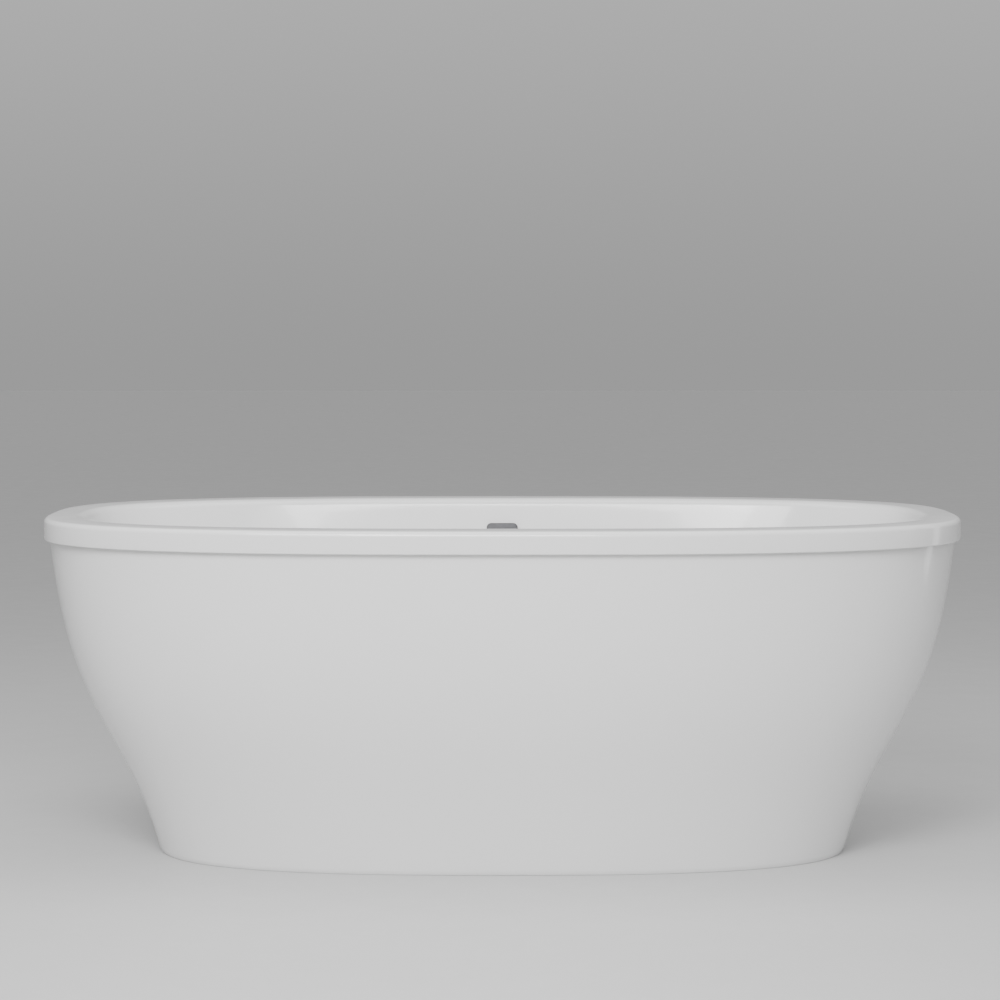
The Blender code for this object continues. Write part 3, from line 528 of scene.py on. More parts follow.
def oval(
    half_length: float, half_width: float, exponent: float, height: float, count: int
) -> Ring:
    """Make a superellipse ring, with a flat facet across each axis.

    Args:
        half_length: reach along X.
        half_width: reach along Y.
        exponent: how square the outline is; 2 is an ellipse.
        height: Z of the ring.
        count: number of points.

    Returns:
        The ring's points.
    """
    flat = math.cos(math.pi / count) ** (2 / exponent)
    ring = []
    for index in range(count):
        angle = 2 * math.pi * (index + 0.5) / count
        along, across = (
            math.copysign(abs(part) ** (2 / exponent), part) / flat
            for part in (math.cos(angle), math.sin(angle))
        )
        ring.append(Vector((half_length * along, half_width * across, height)))
    return ring


def circle(radius: float, height: float, count: int) -> Ring:
    """Make a round ring, with a flat facet across each axis."""
    return oval(radius, radius, 2, height, count)


def rounded(width: float, height: float, corner: float, depth: float, steps: int = 8) -> Ring:
    """Make a rounded rectangle in the XZ plane.

    Args:
        width: size along X.
        height: size along Z.
        corner: corner radius.
        depth: Y of the ring.
        steps: facets in each corner.

    Returns:
        The ring's points.
    """
    ring = []
    for part, (side, up) in enumerate(((1, 1), (-1, 1), (-1, -1), (1, -1))):
        for step in range(steps + 1):
            angle = QUARTER * (part + step / steps)
            x = side * (width / 2 - corner) + corner * math.cos(angle)
            z = up * (height / 2 - corner) + corner * math.sin(angle)
            ring.append(Vector((x, depth, z)))
    return ring


def soften(outline: Sequence[Pair], radius: float, closed: bool, steps: int = 4) -> list[Pair]:
    """Round the corners of an outline.

    Args:
        outline: its corner points.
        radius: how far each rounding reaches along the straight runs.
        closed: whether the last point joins the first; open ends stay as they are.
        steps: facets in each rounding.

    Returns:
        The outline's points with rounded corners.
    """
    points = []
    for index, corner in enumerate(outline):
        if not closed and index in (0, len(outline) - 1):
            points.append(corner)
            continue
        here = Vector(corner)
        before, after = Vector(outline[index - 1]), Vector(outline[(index + 1) % len(outline)])
        reach = min(radius, (before - here).length * 0.45, (after - here).length * 0.45)
        start = here + (before - here).normalized() * reach
        end = here + (after - here).normalized() * reach
        for step in range(steps + 1):
            share = step / steps
            point = start.lerp(here, share).lerp(here.lerp(end, share), share)
            points.append((point.x, point.y))
    return points


def turned(
    name: str,
    outline: Sequence[Pair],
    radius: float = 0.0004,
    count: int = 64,
    shape: Callable[[float, float, float], float] | None = None,
) -> Mesh:
    """Turn an outline of (radius, height) about Z.

    Args:
        name: name of the mesh.
        outline: corner points; an outline that starts on the axis also ends there.
        radius: rounding of its corners.
        count: facets around.
        shape: gives the reach from (radius, height, angle), for ribs and flats.

    Returns:
        The new mesh.
    """
    closed = outline[0][0] != 0
    rows = []
    for reach, height in soften(outline, radius, closed):
        if reach == 0:
            rows.append([Vector((0.0, 0.0, height))])
            continue
        angles = [2 * math.pi * index / count for index in range(count)]
        outs = [shape(reach, height, angle) if shape else reach for angle in angles]
        rows.append([polar(out, angle, height) for out, angle in zip(outs, angles)])
    return make_mesh(name, rows, closed=closed)


def washer(name: str, bore: float, outside: float, low: float, high: float) -> Mesh:
    """Make a flat ring with softly rounded edges."""
    return turned(name, [(bore, low), (outside, low), (outside, high), (bore, high)], 0.0006)


def cylinder(name: str, radius: float, low: float, high: float) -> Mesh:
    """Make a plain round bar along Z, for cutting and joining."""
    return turned(name, [(0, low), (radius, low), (radius, high), (0, high)], 0.0, 48)


def swept(
    name: str, path: Sequence[Vector], radius: Callable[[float], float], bore: float, count: int
) -> Mesh:
    """Sweep a round section along a path.

    Args:
        name: name of the mesh.
        path: centre points.
        radius: gives the outer radius at a share of the path.
        bore: inner radius, or 0 for a solid bar.
        count: facets around.

    Returns:
        The new mesh.
    """
    outer, inner = [], []
    side = Vector((1.0, 0.0, 0.0))
    last = len(path) - 1
    for index, point in enumerate(path):
        along = (path[min(index + 1, last)] - path[max(index - 1, 0)]).normalized()
        if abs(along.x) > 0.9 and index == 0:
            side = Vector((0.0, 1.0, 0.0))
        side = (side - along * side.dot(along)).normalized()
        up = along.cross(side)
        for rings, reach in ((outer, radius(index / last)), (inner, bore)):
            angles = (2 * math.pi * step / count for step in range(count))
            rings.append([point + (side * math.cos(a) + up * math.sin(a)) * reach for a in angles])
    if bore:
        return make_mesh(name, outer + inner[::-1], closed=True)
    return make_mesh(name, outer, caps=True)


def plate(
    name: str, size: Pair, corner: float, back: float, front: float, edge: float = 0.0005
) -> Mesh:
    """Make a plate with rounded corners and eased edges.

    Args:
        name: name of the mesh.
        size: width along X and height along Z.
        corner: corner radius.
        back: Y of one face.
        front: Y of the other face.
        edge: easing of both faces' edges.

    Returns:
        The new mesh.
    """
    width, height = size
    slim = (width - 2 * edge, height - 2 * edge, max(corner - edge, edge))
    ease = edge if back > front else -edge
    full = [rounded(width, height, corner, depth) for depth in (back - ease, front + ease)]
    return make_mesh(name, [rounded(*slim, back), *full, rounded(*slim, front)], caps=True)


def moved(mesh: Mesh, at: Sequence[float] = NIL, turn: Sequence[float] = NIL) -> Mesh:
    """Turn a mesh by XYZ angles, then shift it, and return it."""
    mesh.transform(Matrix.Translation(at) @ Euler(turn).to_matrix().to_4x4())
    return mesh


def carve(piece: Piece, cuts: Sequence[Mesh], joins: Sequence[Mesh] = ()) -> None:
    """Join and cut shapes, and turn every modifier into the piece's final mesh.

    Args:
        piece: the piece to change.
        cuts: shapes to take away, in the piece's own coordinates.
        joins: shapes to add before that.
    """
    helpers = []
    for mesh in (*joins, *cuts):
        helper = stand("carving_tool", mesh)
        helper.location, helper.rotation_euler = piece.location, piece.rotation_euler
        modifier = piece.modifiers.new(mesh.name, "BOOLEAN")
        modifier.operation = "UNION" if mesh in joins else "DIFFERENCE"
        modifier.solver = "EXACT"
        modifier.object = helper
        helpers.append(helper)
    bpy.context.view_layer.update()
    graph = bpy.context.evaluated_depsgraph_get()
    final = bpy.data.meshes.new_from_object(piece.evaluated_get(graph), depsgraph=graph)
    piece.modifiers.clear()
    piece.data = final
    final.set_sharp_from_angle(angle=math.radians(40))
    for helper in helpers:
        bpy.data.objects.remove(helper, do_unlink=True)


# ---------------------------------------------------------------------------------- the shells


@dataclass
class BasinShell:
    """Inner shell: flat rim, turned-down band, sloping ends and a dished floor."""

    around: int = 256
    shell: float = 0.007
    band: float = 0.0395
    edge_radius: float = 0.009
    lower_edge: float = 0.0022
    end_width: float = 0.054
    side_width: float = 0.063
    lip_radius: float = 0.016
    lip_steps: int = 14
    wall_steps: int = 24
    end_slope: float = math.radians(24)
    side_slope: float = math.radians(9)
    end_fillet: float = 0.120
    side_fillet: float = 0.100
    dish_radius: float = 0.072
    dish_depth: float = 0.003
    dish_steps: int = 6
    seat_radius: float = 0.046
    hole_radius: float = 0.0263
    rim_exponent: float = 2.84
    floor_exponent: float = 2.40
    overflow_hole: Pair = (0.046, 0.016)
    overflow_corner: float = 0.006

    def __post_init__(self) -> None:
        """Take the overall sizes and the floor height from the CAD frame."""
        low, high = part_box("basin_shell")
        self.half_length = (high[0] - low[0]) / 2
        self.half_width = (high[1] - low[1]) / 2
        self.top = high[2]
        self.floor = span("floor_board")[1] + FIT + self.shell

    def inset(self, height: float, rim: float, slope: float, fillet: float) -> float:
        """Distance from the rim's outer face to the inner face.

        Args:
            height: Z of the point.
            rim: width of the rim's flat.
            slope: the wall's lean.
            fillet: radius between wall and floor.

        Returns:
            The inset in metres.
        """
        drop = self.top - height
        rise = max(height - self.floor, 0.0)
        lip_end = self.lip_radius * (1 - math.sin(slope))
        if drop <= lip_end:
            return rim + self.lip_radius * math.sin(math.acos(1 - drop / self.lip_radius))
        start = rim + self.lip_radius * math.cos(slope)
        fillet_end = fillet * (1 - math.sin(slope))
        if rise >= fillet_end:
            return start + (drop - lip_end) * math.tan(slope)
        straight = self.top - self.floor - fillet_end - lip_end
        turn = math.acos(1 - rise / fillet)
        return start + straight * math.tan(slope) + fillet * (math.cos(slope) - math.sin(turn))

    def section(self, height: float) -> Triple:
        """Outline of the inner face.

        Args:
            height: Z of the outline.

        Returns:
            Half length, half width and exponent.
        """
        end = self.inset(height, self.end_width, self.end_slope, self.end_fillet)
        side = self.inset(height, self.side_width, self.side_slope, self.side_fillet)
        depth = (self.top - height) / (self.top - self.floor)
        exponent = self.rim_exponent + (self.floor_exponent - self.rim_exponent) * depth
        return self.half_length - end, self.half_width - side, exponent

    def heights(self) -> list[float]:
        """Heights of the inner face's rings.

        Returns:
            Z of each ring, from the rim down to the floor.
        """
        lip, count = QUARTER - self.side_slope, self.wall_steps
        turns = (lip * step / self.lip_steps for step in range(self.lip_steps + 1))
        steps = [self.top - self.lip_radius * (1 - math.cos(turn)) for turn in turns]
        high, low = steps[-1], self.floor + self.end_fillet * (1 - math.sin(self.side_slope))
        steps += [high + (low - high) * step / count for step in range(1, count)]
        turns = (lip * step / count for step in range(count, -1, -1))
        return steps + [self.floor + self.end_fillet * (1 - math.cos(turn)) for turn in turns]

    def rim_ring(self, inset: float, height: float) -> Ring:
        """Ring on the band or the rim's outer edge."""
        length, width = self.half_length - inset, self.half_width - inset
        return oval(length, width, self.rim_exponent, height, self.around)

    def rings(self) -> list[Ring]:
        """Rings of the visible face.

        Returns:
            The rings, from the band's lower edge to the drain hole.
        """
        lower, dish, count = self.top - self.band, self.dish_radius, self.around
        rings = [self.rim_ring(inset, lower + rise) for inset, rise in quarter(self.lower_edge, 4)]
        for drop, inset in quarter(self.edge_radius, 10):
            rings.append(self.rim_ring(inset, self.top - drop))
        rings += [oval(*self.section(height), height, count) for height in self.heights()]
        edge = self.section(self.floor)[:2]
        for share in (0.7, 0.4):
            reach = (dish + (far - dish) * share for far in edge)
            rings.append(oval(*reach, 2 + (self.floor_exponent - 2) * share, self.floor, count))
        for step in range(self.dish_steps + 1):
            share = step / self.dish_steps
            radius = dish + (self.seat_radius - dish) * share
            ease = share * share * (3 - 2 * share)
            rings.append(circle(radius, self.floor - self.dish_depth * ease, count))
        return [*rings, circle(self.hole_radius, self.floor - self.dish_depth, count)]

    def overflow_seat(self) -> tuple[Vector, Triple]:
        """Find where the overflow's cover meets the +Y wall.

        Returns:
            The cover's centre on the wall, and its tilt as XYZ angles.
        """
        middle = FIT + Overflow.cover_depth / 2
        height = centre("overflow_cover")[2] - middle * math.sin(self.side_slope)
        return Vector((0.0, self.section(height)[1], height)), (-self.side_slope, 0.0, 0.0)

    def build(self) -> None:
        """Make the shell and cut its overflow hole."""
        mesh = make_mesh("basin", self.rings(), sharp=60.0)
        basin = add_piece("basin", mesh, ACRYLIC, "basin_shell", lining=STRAND)
        skin = basin.modifiers.new("shell", "SOLIDIFY")
        skin.thickness = self.shell
        skin.offset = -1
        skin.use_even_offset = True
        skin.use_quality_normals = True
        skin.material_offset = 1
        depths = (-2 * self.shell, 2 * self.shell)
        rows = [rounded(*self.overflow_hole, self.overflow_corner, depth) for depth in depths]
        hole = make_mesh("overflow_hole", rows, caps=True)
        carve(basin, [moved(hole, *self.overflow_seat())])


@dataclass
class SkirtShell:
    """Outer shell: a wall that swings in to the foot, with a flange under the rim."""

    basin: BasinShell
    levels: int = 72
    wall: float = 0.006
    flange: float = 0.025
    inset: float = 0.0105
    foot_end_inset: float = 0.2025
    foot_side_inset: float = 0.144
    foot_exponent: float = 2.71
    upper_handle: Pair = (0.165, 0.431)
    lower_handle: Pair = (0.671, 0.412)
    toe: float = 0.0015

    def __post_init__(self) -> None:
        """Take the rim's outline from the basin and the top from the CAD frame."""
        self.top_length = self.basin.half_length - self.inset
        self.top_width = self.basin.half_width - self.inset
        self.shoulder = self.basin.top - self.basin.band
        self.top = span("skirt_shell")[1]

    def section(self, share: float, inset: float) -> tuple[float, float, float, float]:
        """Outline of the wall at one place on its profile.

        Args:
            share: 0 at the foot, 1 at the shoulder.
            inset: distance in from the outer face.

        Returns:
            Half length, half width, exponent and height.
        """
        rest = 1 - share
        lower, upper = 3 * rest * rest * share, 3 * rest * share * share
        run_in = rest**3 + lower * self.lower_handle[0] + upper * self.upper_handle[0]
        climb = lower * self.lower_handle[1] + upper * self.upper_handle[1] + share**3
        half_length = self.top_length - (self.foot_end_inset - self.inset) * run_in - inset
        half_width = self.top_width - (self.foot_side_inset - self.inset) * run_in - inset
        rim = self.basin.rim_exponent
        exponent = rim + (self.foot_exponent - rim) * run_in
        return half_length, half_width, exponent, climb * self.shoulder

    def reach(self, along: float, height: float) -> float:
        """Y of the wall's inner face.

        Args:
            along: X of the place.
            height: Z of the place.

        Returns:
            The distance from the bath's long axis.
        """
        low, high = 0.0, 1.0
        for _ in range(40):
            middle = (low + high) / 2
            if self.section(middle, 0.0)[3] < height:
                low = middle
            else:
                high = middle
        half_length, half_width, exponent, _ = self.section(low, self.wall)
        return half_width * (1 - (abs(along) / half_length) ** exponent) ** (1 / exponent)

    def wall_rings(self, inset: float) -> list[Ring]:
        """Rings of one face of the wall, from the foot to the shoulder."""
        shares = (step / self.levels for step in range(self.levels + 1))
        return [oval(*self.section(share, inset), self.basin.around) for share in shares]

    def collar(self, inset: float, height: float) -> Ring:
        """Ring of the upright collar under the band."""
        length, width = self.top_length - inset, self.top_width - inset
        return oval(length, width, self.basin.rim_exponent, height, self.basin.around)

    def build(self) -> None:
        """Make the skirt, glossy outside and bare strand mat inside."""
        length, width, exponent, _ = self.section(0.0, self.toe)
        outer, under = self.wall_rings(0.0), self.top - self.wall
        for point in outer[0]:
            point.z = self.toe
        rings = [oval(length, width, exponent, 0.0, self.basin.around), *outer]
        rings += [self.collar(0.0, self.top), self.collar(self.flange, self.top)]
        lined_from = len(rings) - 2
        rings += [self.collar(self.flange, under), self.collar(self.wall, under)]
        rings += reversed(self.wall_rings(self.wall))
        mesh = make_mesh("skirt", rings, closed=True, lined_from=lined_from, sharp=50.0)
        add_piece("skirt", mesh, ACRYLIC, "skirt_shell", lining=STRAND)


# ----------------------------------------------------------------------------- under the basin


@dataclass
class Underside:
    """Bond bead, stiffening board and the blocks that hold the skirt to the frame."""

    basin: BasinShell
    skirt: SkirtShell
    bead_width: float = 0.012
    bead_setback: float = 0.006
    bead_round: float = 0.0014
    board_hole: float = 0.080
    board_edge: float = 0.0015
    block_chamfer: float = 0.0025

    def build(self) -> None:
        """Make the bead, the board and the four blocks."""
        low, high = span("rim_bond")
        near, far = self.bead_setback, self.bead_setback + self.bead_width
        corners = [(near, low), (near, high), (far, high), (far, low)]
        rings = [self.skirt.collar(*point) for point in soften(corners, self.bead_round, True)]
        add_piece("bond_bead", make_mesh("bond_bead", rings, closed=True), BOND, "rim_bond")
        self.board()
        for number in range(1, 5):
            self.block(f"skirt_block_{number}", f"bonded_block_{number}")

    def board(self) -> None:
        """Make the board with its round hole for the waste."""
        length, width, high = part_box("floor_board")[1]
        low, ease, count = span("floor_board")[0], self.board_edge, self.basin.around
        edges = [(ease, low), (0, low + ease), (0, high - ease), (ease, high)]
        rings = [
            oval(length - back, width - back, self.basin.floor_exponent, height, count)
            for back, height in edges
        ]
        rings += [circle(self.board_hole + back, height, count) for back, height in edges[::-1]]
        board = make_mesh("stiffening_board", rings, closed=True)
        add_piece("stiffening_board", board, BOARD, "floor_board")

    def block(self, node: str, name: str) -> None:
        """Make one block whose far face follows the skirt.

        Args:
            node: its CAD node.
            name: its name.
        """
        low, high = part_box(node)
        side = 1 if low[1] > 0 else -1
        near = low[1] if side > 0 else high[1]
        x, _, z = centre(node)
        width, height, ease = high[0] - low[0], high[2] - low[2], self.block_chamfer

        def on_skirt(along: float, up: float, back: float = 0.0) -> Vector:
            """Point on the skirt's inner face, or back from it."""
            return Vector((along, side * (self.skirt.reach(along, up) - FIT - back), up))

        def places(shrink: float) -> list[Pair]:
            """X and Z round the block's outline, pulled in by shrink."""
            ring = rounded(width - 2 * shrink, height - 2 * shrink, ease, 0.0)
            return [(x + point.x, z + point.z) for point in ring]

        rows = [[Vector((x, near, z))]]
        rows.append([Vector((along, near, up)) for along, up in places(ease)])
        rows.append([Vector((along, near + side * ease, up)) for along, up in places(0.0)])
        rows.append([on_skirt(along, up, ease) for along, up in places(0.0)])
        spare = min(width, height) / 2 - 2 * ease
        for step in range(4):
            rows.append([on_skirt(along, up) for along, up in places(ease + spare * step / 4)])
        rows.append([on_skirt(x, z)])
        add_piece(name, make_mesh(node, rows), BOARD, node)


@dataclass
class SteelFrame:
    """Welded frame of two rails on four bars, drilled for the feet."""

    wall: float = 0.002
    corner: float = 0.003
    hole_radius: float = 0.0065
    drill_reach: float = 0.02
    weld: float = 0.0024
    weld_offset: float = 0.0007
    weld_margin: float = 0.002
    weld_steps: int = 48
    ripples: int = 11

    def build(self) -> None:
        """Make the rails, the bars and the weld beads."""
        for end in ("front", "back"):
            self.tube(f"rail_{end}", f"frame_rail_{end}", -QUARTER)
        welds = bmesh.new()
        for number in range(1, 5):
            node = f"crossbar_{number}"
            low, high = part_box(node)
            bar = self.tube(node, f"frame_bar_{number}", 0.0)
            drills = []
            for foot in range(1, 7):
                x, y, _ = centre(f"foot_stud_{foot}")
                if low[0] < x < high[0]:
                    drill = cylinder(
                        "foot_drill", self.hole_radius, -self.drill_reach, self.drill_reach
                    )
                    drills.append(moved(drill, (x - bar.location.x, y - bar.location.y, 0.0)))
            carve(bar, drills)
            for bead in self.beads(low, high):
                welds.from_mesh(bead)
        mesh = bpy.data.meshes.new("frame_welds")
        welds.to_mesh(mesh)
        welds.free()
        mesh.shade_smooth()
        add_piece("frame_welds", mesh, GALVANISED, None)

    def tube(self, node: str, name: str, turn: float) -> Piece:
        """Make one open tube with rolled corners, in the place of its CAD node.

        Args:
            node: the CAD node.
            name: the piece's name.
            turn: 0 for a tube along Y, -90 degrees for one along X.

        Returns:
            The piece.
        """
        low, high = (Vector(corner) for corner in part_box(node))
        size, wall = high - low, self.wall
        wide, long = (size.y, size.x) if turn else (size.x, size.y)
        slim = (wide - 2 * wall, size.z - 2 * wall, max(self.corner - wall, wall / 4))
        ends = (-long / 2, long / 2)
        rows = [rounded(wide, size.z, self.corner, depth) for depth in ends]
        rows += [rounded(*slim, depth) for depth in ends[::-1]]
        mesh = moved(make_mesh(node, rows, closed=True), turn=(0.0, 0.0, turn))
        return add_piece(name, mesh, GALVANISED, node, at=(low + high) / 2)

    def beads(self, low: Sequence[float], high: Sequence[float]) -> list[Mesh]:
        """Make the weld beads where the two rails cross one bar.

        Args:
            low: the bar's lowest corner.
            high: the bar's highest corner.

        Returns:
            Four beads, one on each side of each rail.
        """

        def size(share: float) -> float:
            """Radius of a bead, rippled and drawn in at its ends."""
            fade = min(1.0, 8 * share + 0.35, 8 * (1 - share) + 0.35)
            return self.weld * fade * (1 + 0.1 * math.sin(2 * math.pi * self.ripples * share))

        made = []
        start, run = low[0] + self.weld_margin, high[0] - low[0] - 2 * self.weld_margin
        for rail in ("rail_front", "rail_back"):
            near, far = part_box(rail)
            for y in (near[1] - self.weld_offset, far[1] + self.weld_offset):
                path = [
                    Vector((start + run * step / self.weld_steps, y, high[2] + self.weld_offset))
                    for step in range(self.weld_steps + 1)
                ]
                made.append(swept("bead", path, size, 0.0, 16))
        return made


@dataclass
class LevellingFeet:
    """Six screw feet: ribbed pad, threaded stud and lock nut."""

    pad_radius: float = 0.024
    neck_radius: float = 0.012
    pad_thickness: float = 0.006
    pad_height: float = 0.014
    socket_depth: float = 0.007
    ribs: int = 18
    rib_depth: float = 0.0011
    radius: float = 0.006
    clearance: float = 0.0005
    pitch: float = 0.00175
    pitch_levels: int = 7
    thread_depth: float = 0.00095
    thread_facets: int = 20
    nut_radius: float = 0.011
    nut_facets: int = 96

    def build(self) -> None:
        """Make all six feet."""
        pad, stud, nut = self.pad(), self.stud(), self.nut()
        for number in range(1, 7):
            x, y, _ = centre(f"foot_stud_{number}")
            foot = f"foot_{number}"
            for kind, mesh, finish, body in (
                ("pad", pad, RUBBER, foot), ("stud", stud, ZINC, foot), ("nut", nut, ZINC, TUB)
            ):
                name, node = f"level_{kind}_{number}", f"foot_{kind}_{number}"
                add_piece(name, mesh, finish, node, body, (x, y, 0.0))

    def pad(self) -> Mesh:
        """Make the ribbed pad with its socket for the stud.

        Returns:
            The new mesh.
        """
        brim, top, socket = self.pad_thickness, self.pad_height, self.radius + self.clearance
        floor = top - self.socket_depth
        outline = [
            (0, 0), (self.pad_radius, 0), (self.pad_radius, brim), (self.neck_radius, top),
            (socket, top), (socket, floor), (0, floor),
        ]

        def ribbed(reach: float, height: float, angle: float) -> float:
            """Groove the cone, deeper towards its top.

            Args:
                reach: radius of the outline.
                height: Z on the pad.
                angle: place around it.

            Returns:
                The grooved radius, unchanged on the brim and in the socket.
            """
            climb = max(0.0, (height - brim) / (top - brim))
            groove = self.rib_depth * climb * (0.5 + 0.5 * math.cos(self.ribs * angle))
            return reach - groove if reach >= self.neck_radius * 0.9 else reach

        return turned("level_pad", outline, 0.0009, 144, ribbed)

    def stud(self) -> Mesh:
        """Make the stud with its rolled thread.

        Returns:
            The new mesh.
        """
        low, high = span("foot_stud_1")
        levels = round((high - low) / self.pitch * self.pitch_levels)
        rows = []
        for level in range(levels + 1):
            height = low + (high - low) * level / levels
            chamfer = self.radius - self.thread_depth + min(height - low, high - height)
            ring = []
            for index in range(self.thread_facets):
                turn = index / self.thread_facets
                phase = ((height - low) / self.pitch - turn) % 1.0
                flank = self.radius - self.thread_depth * min(1.0, 1.25 * abs(2 * phase - 1))
                ring.append(polar(min(flank, chamfer), 2 * math.pi * turn, height))
            rows.append(ring)
        return make_mesh("level_stud", rows, caps=True, sharp=50.0)

    def nut(self) -> Mesh:
        """Make the hexagonal nut with chamfered corners.

        Returns:
            The new mesh.
        """
        low, high = span("foot_nut_1")
        ease, bore = self.clearance, self.radius + self.clearance
        flat = self.nut_radius * math.cos(math.pi / 6)
        rows: list[Ring] = [[] for _ in range(8)]
        for index in range(self.nut_facets):
            angle = 2 * math.pi * index / self.nut_facets
            corner = flat / math.cos((angle % (math.pi / 3)) - math.pi / 6)
            drop = (corner - flat) * math.tan(math.radians(30))
            steps = (
                (bore, low + ease), (bore + ease, low), (flat, low), (corner, low + drop),
                (corner, high - drop), (flat, high), (bore + ease, high), (bore, high - ease),
            )
            for row, (reach, height) in zip(rows, steps):
                row.append(polar(reach, angle, height))
        return make_mesh("level_nut", rows, closed=True, sharp=25.0)


# ----------------------------------------------------------------------------------- the waste


@dataclass
class SlipJoint:
    """Slip nut with grip ribs and its washer, at the mouth of a pipe's socket."""

    pipe: float
    socket_wall: float = 0.0037
    socket_depth: float = 0.015
    nut_wall: float = 0.0042
    lip: float = 0.004
    sleeve: float = 0.014
    collar: float = 0.003
    washer_height: float = 0.0047
    ribs: int = 24
    rib_depth: float = 0.0014

    def __post_init__(self) -> None:
        """Work out the radii from the pipe outwards."""
        self.bore = self.pipe + FIT
        self.socket = self.bore + self.socket_wall
        self.inner = self.socket + FIT
        self.outside = self.inner + self.nut_wall

    def build(self, prefix: str, at: Sequence[float], turn: Sequence[float] = NIL) -> None:
        """Make the nut and the washer.

        Args:
            prefix: start of the CAD nodes' names.
            at: centre of the socket's mouth.
            turn: rotation that points +Z into the socket.
        """
        step, collar = -self.washer_height - FIT, self.sleeve - self.collar
        bottom, root = step - self.lip, self.outside - self.rib_depth
        outline = [
            (self.bore, bottom), (root, bottom), (self.outside, bottom + self.rib_depth),
            (self.outside, collar), (root, collar), (root, self.sleeve),
            (self.inner, self.sleeve), (self.inner, step), (self.bore, step),
        ]

        def gripped(reach: float, height: float, angle: float) -> float:
            """Radius with grip ribs, unchanged inside the nut and on its sleeve."""
            groove = self.rib_depth * max(0.0, math.cos(self.ribs * angle)) ** 2
            return reach - groove if reach >= self.outside - self.rib_depth * 0.7 else reach

        nut = turned(f"{prefix}_nut_mesh", outline, 0.0007, self.ribs * 8, gripped)
        add_piece(f"{prefix}_grip_nut", nut, PLASTIC, f"{prefix}_nut", TUB, at, turn)
        ring = washer(f"{prefix}_ring_mesh", self.bore, self.socket, step + FIT, -FIT)
        add_piece(f"{prefix}_ring", ring, RUBBER, f"{prefix}_washer", TUB, at, turn)


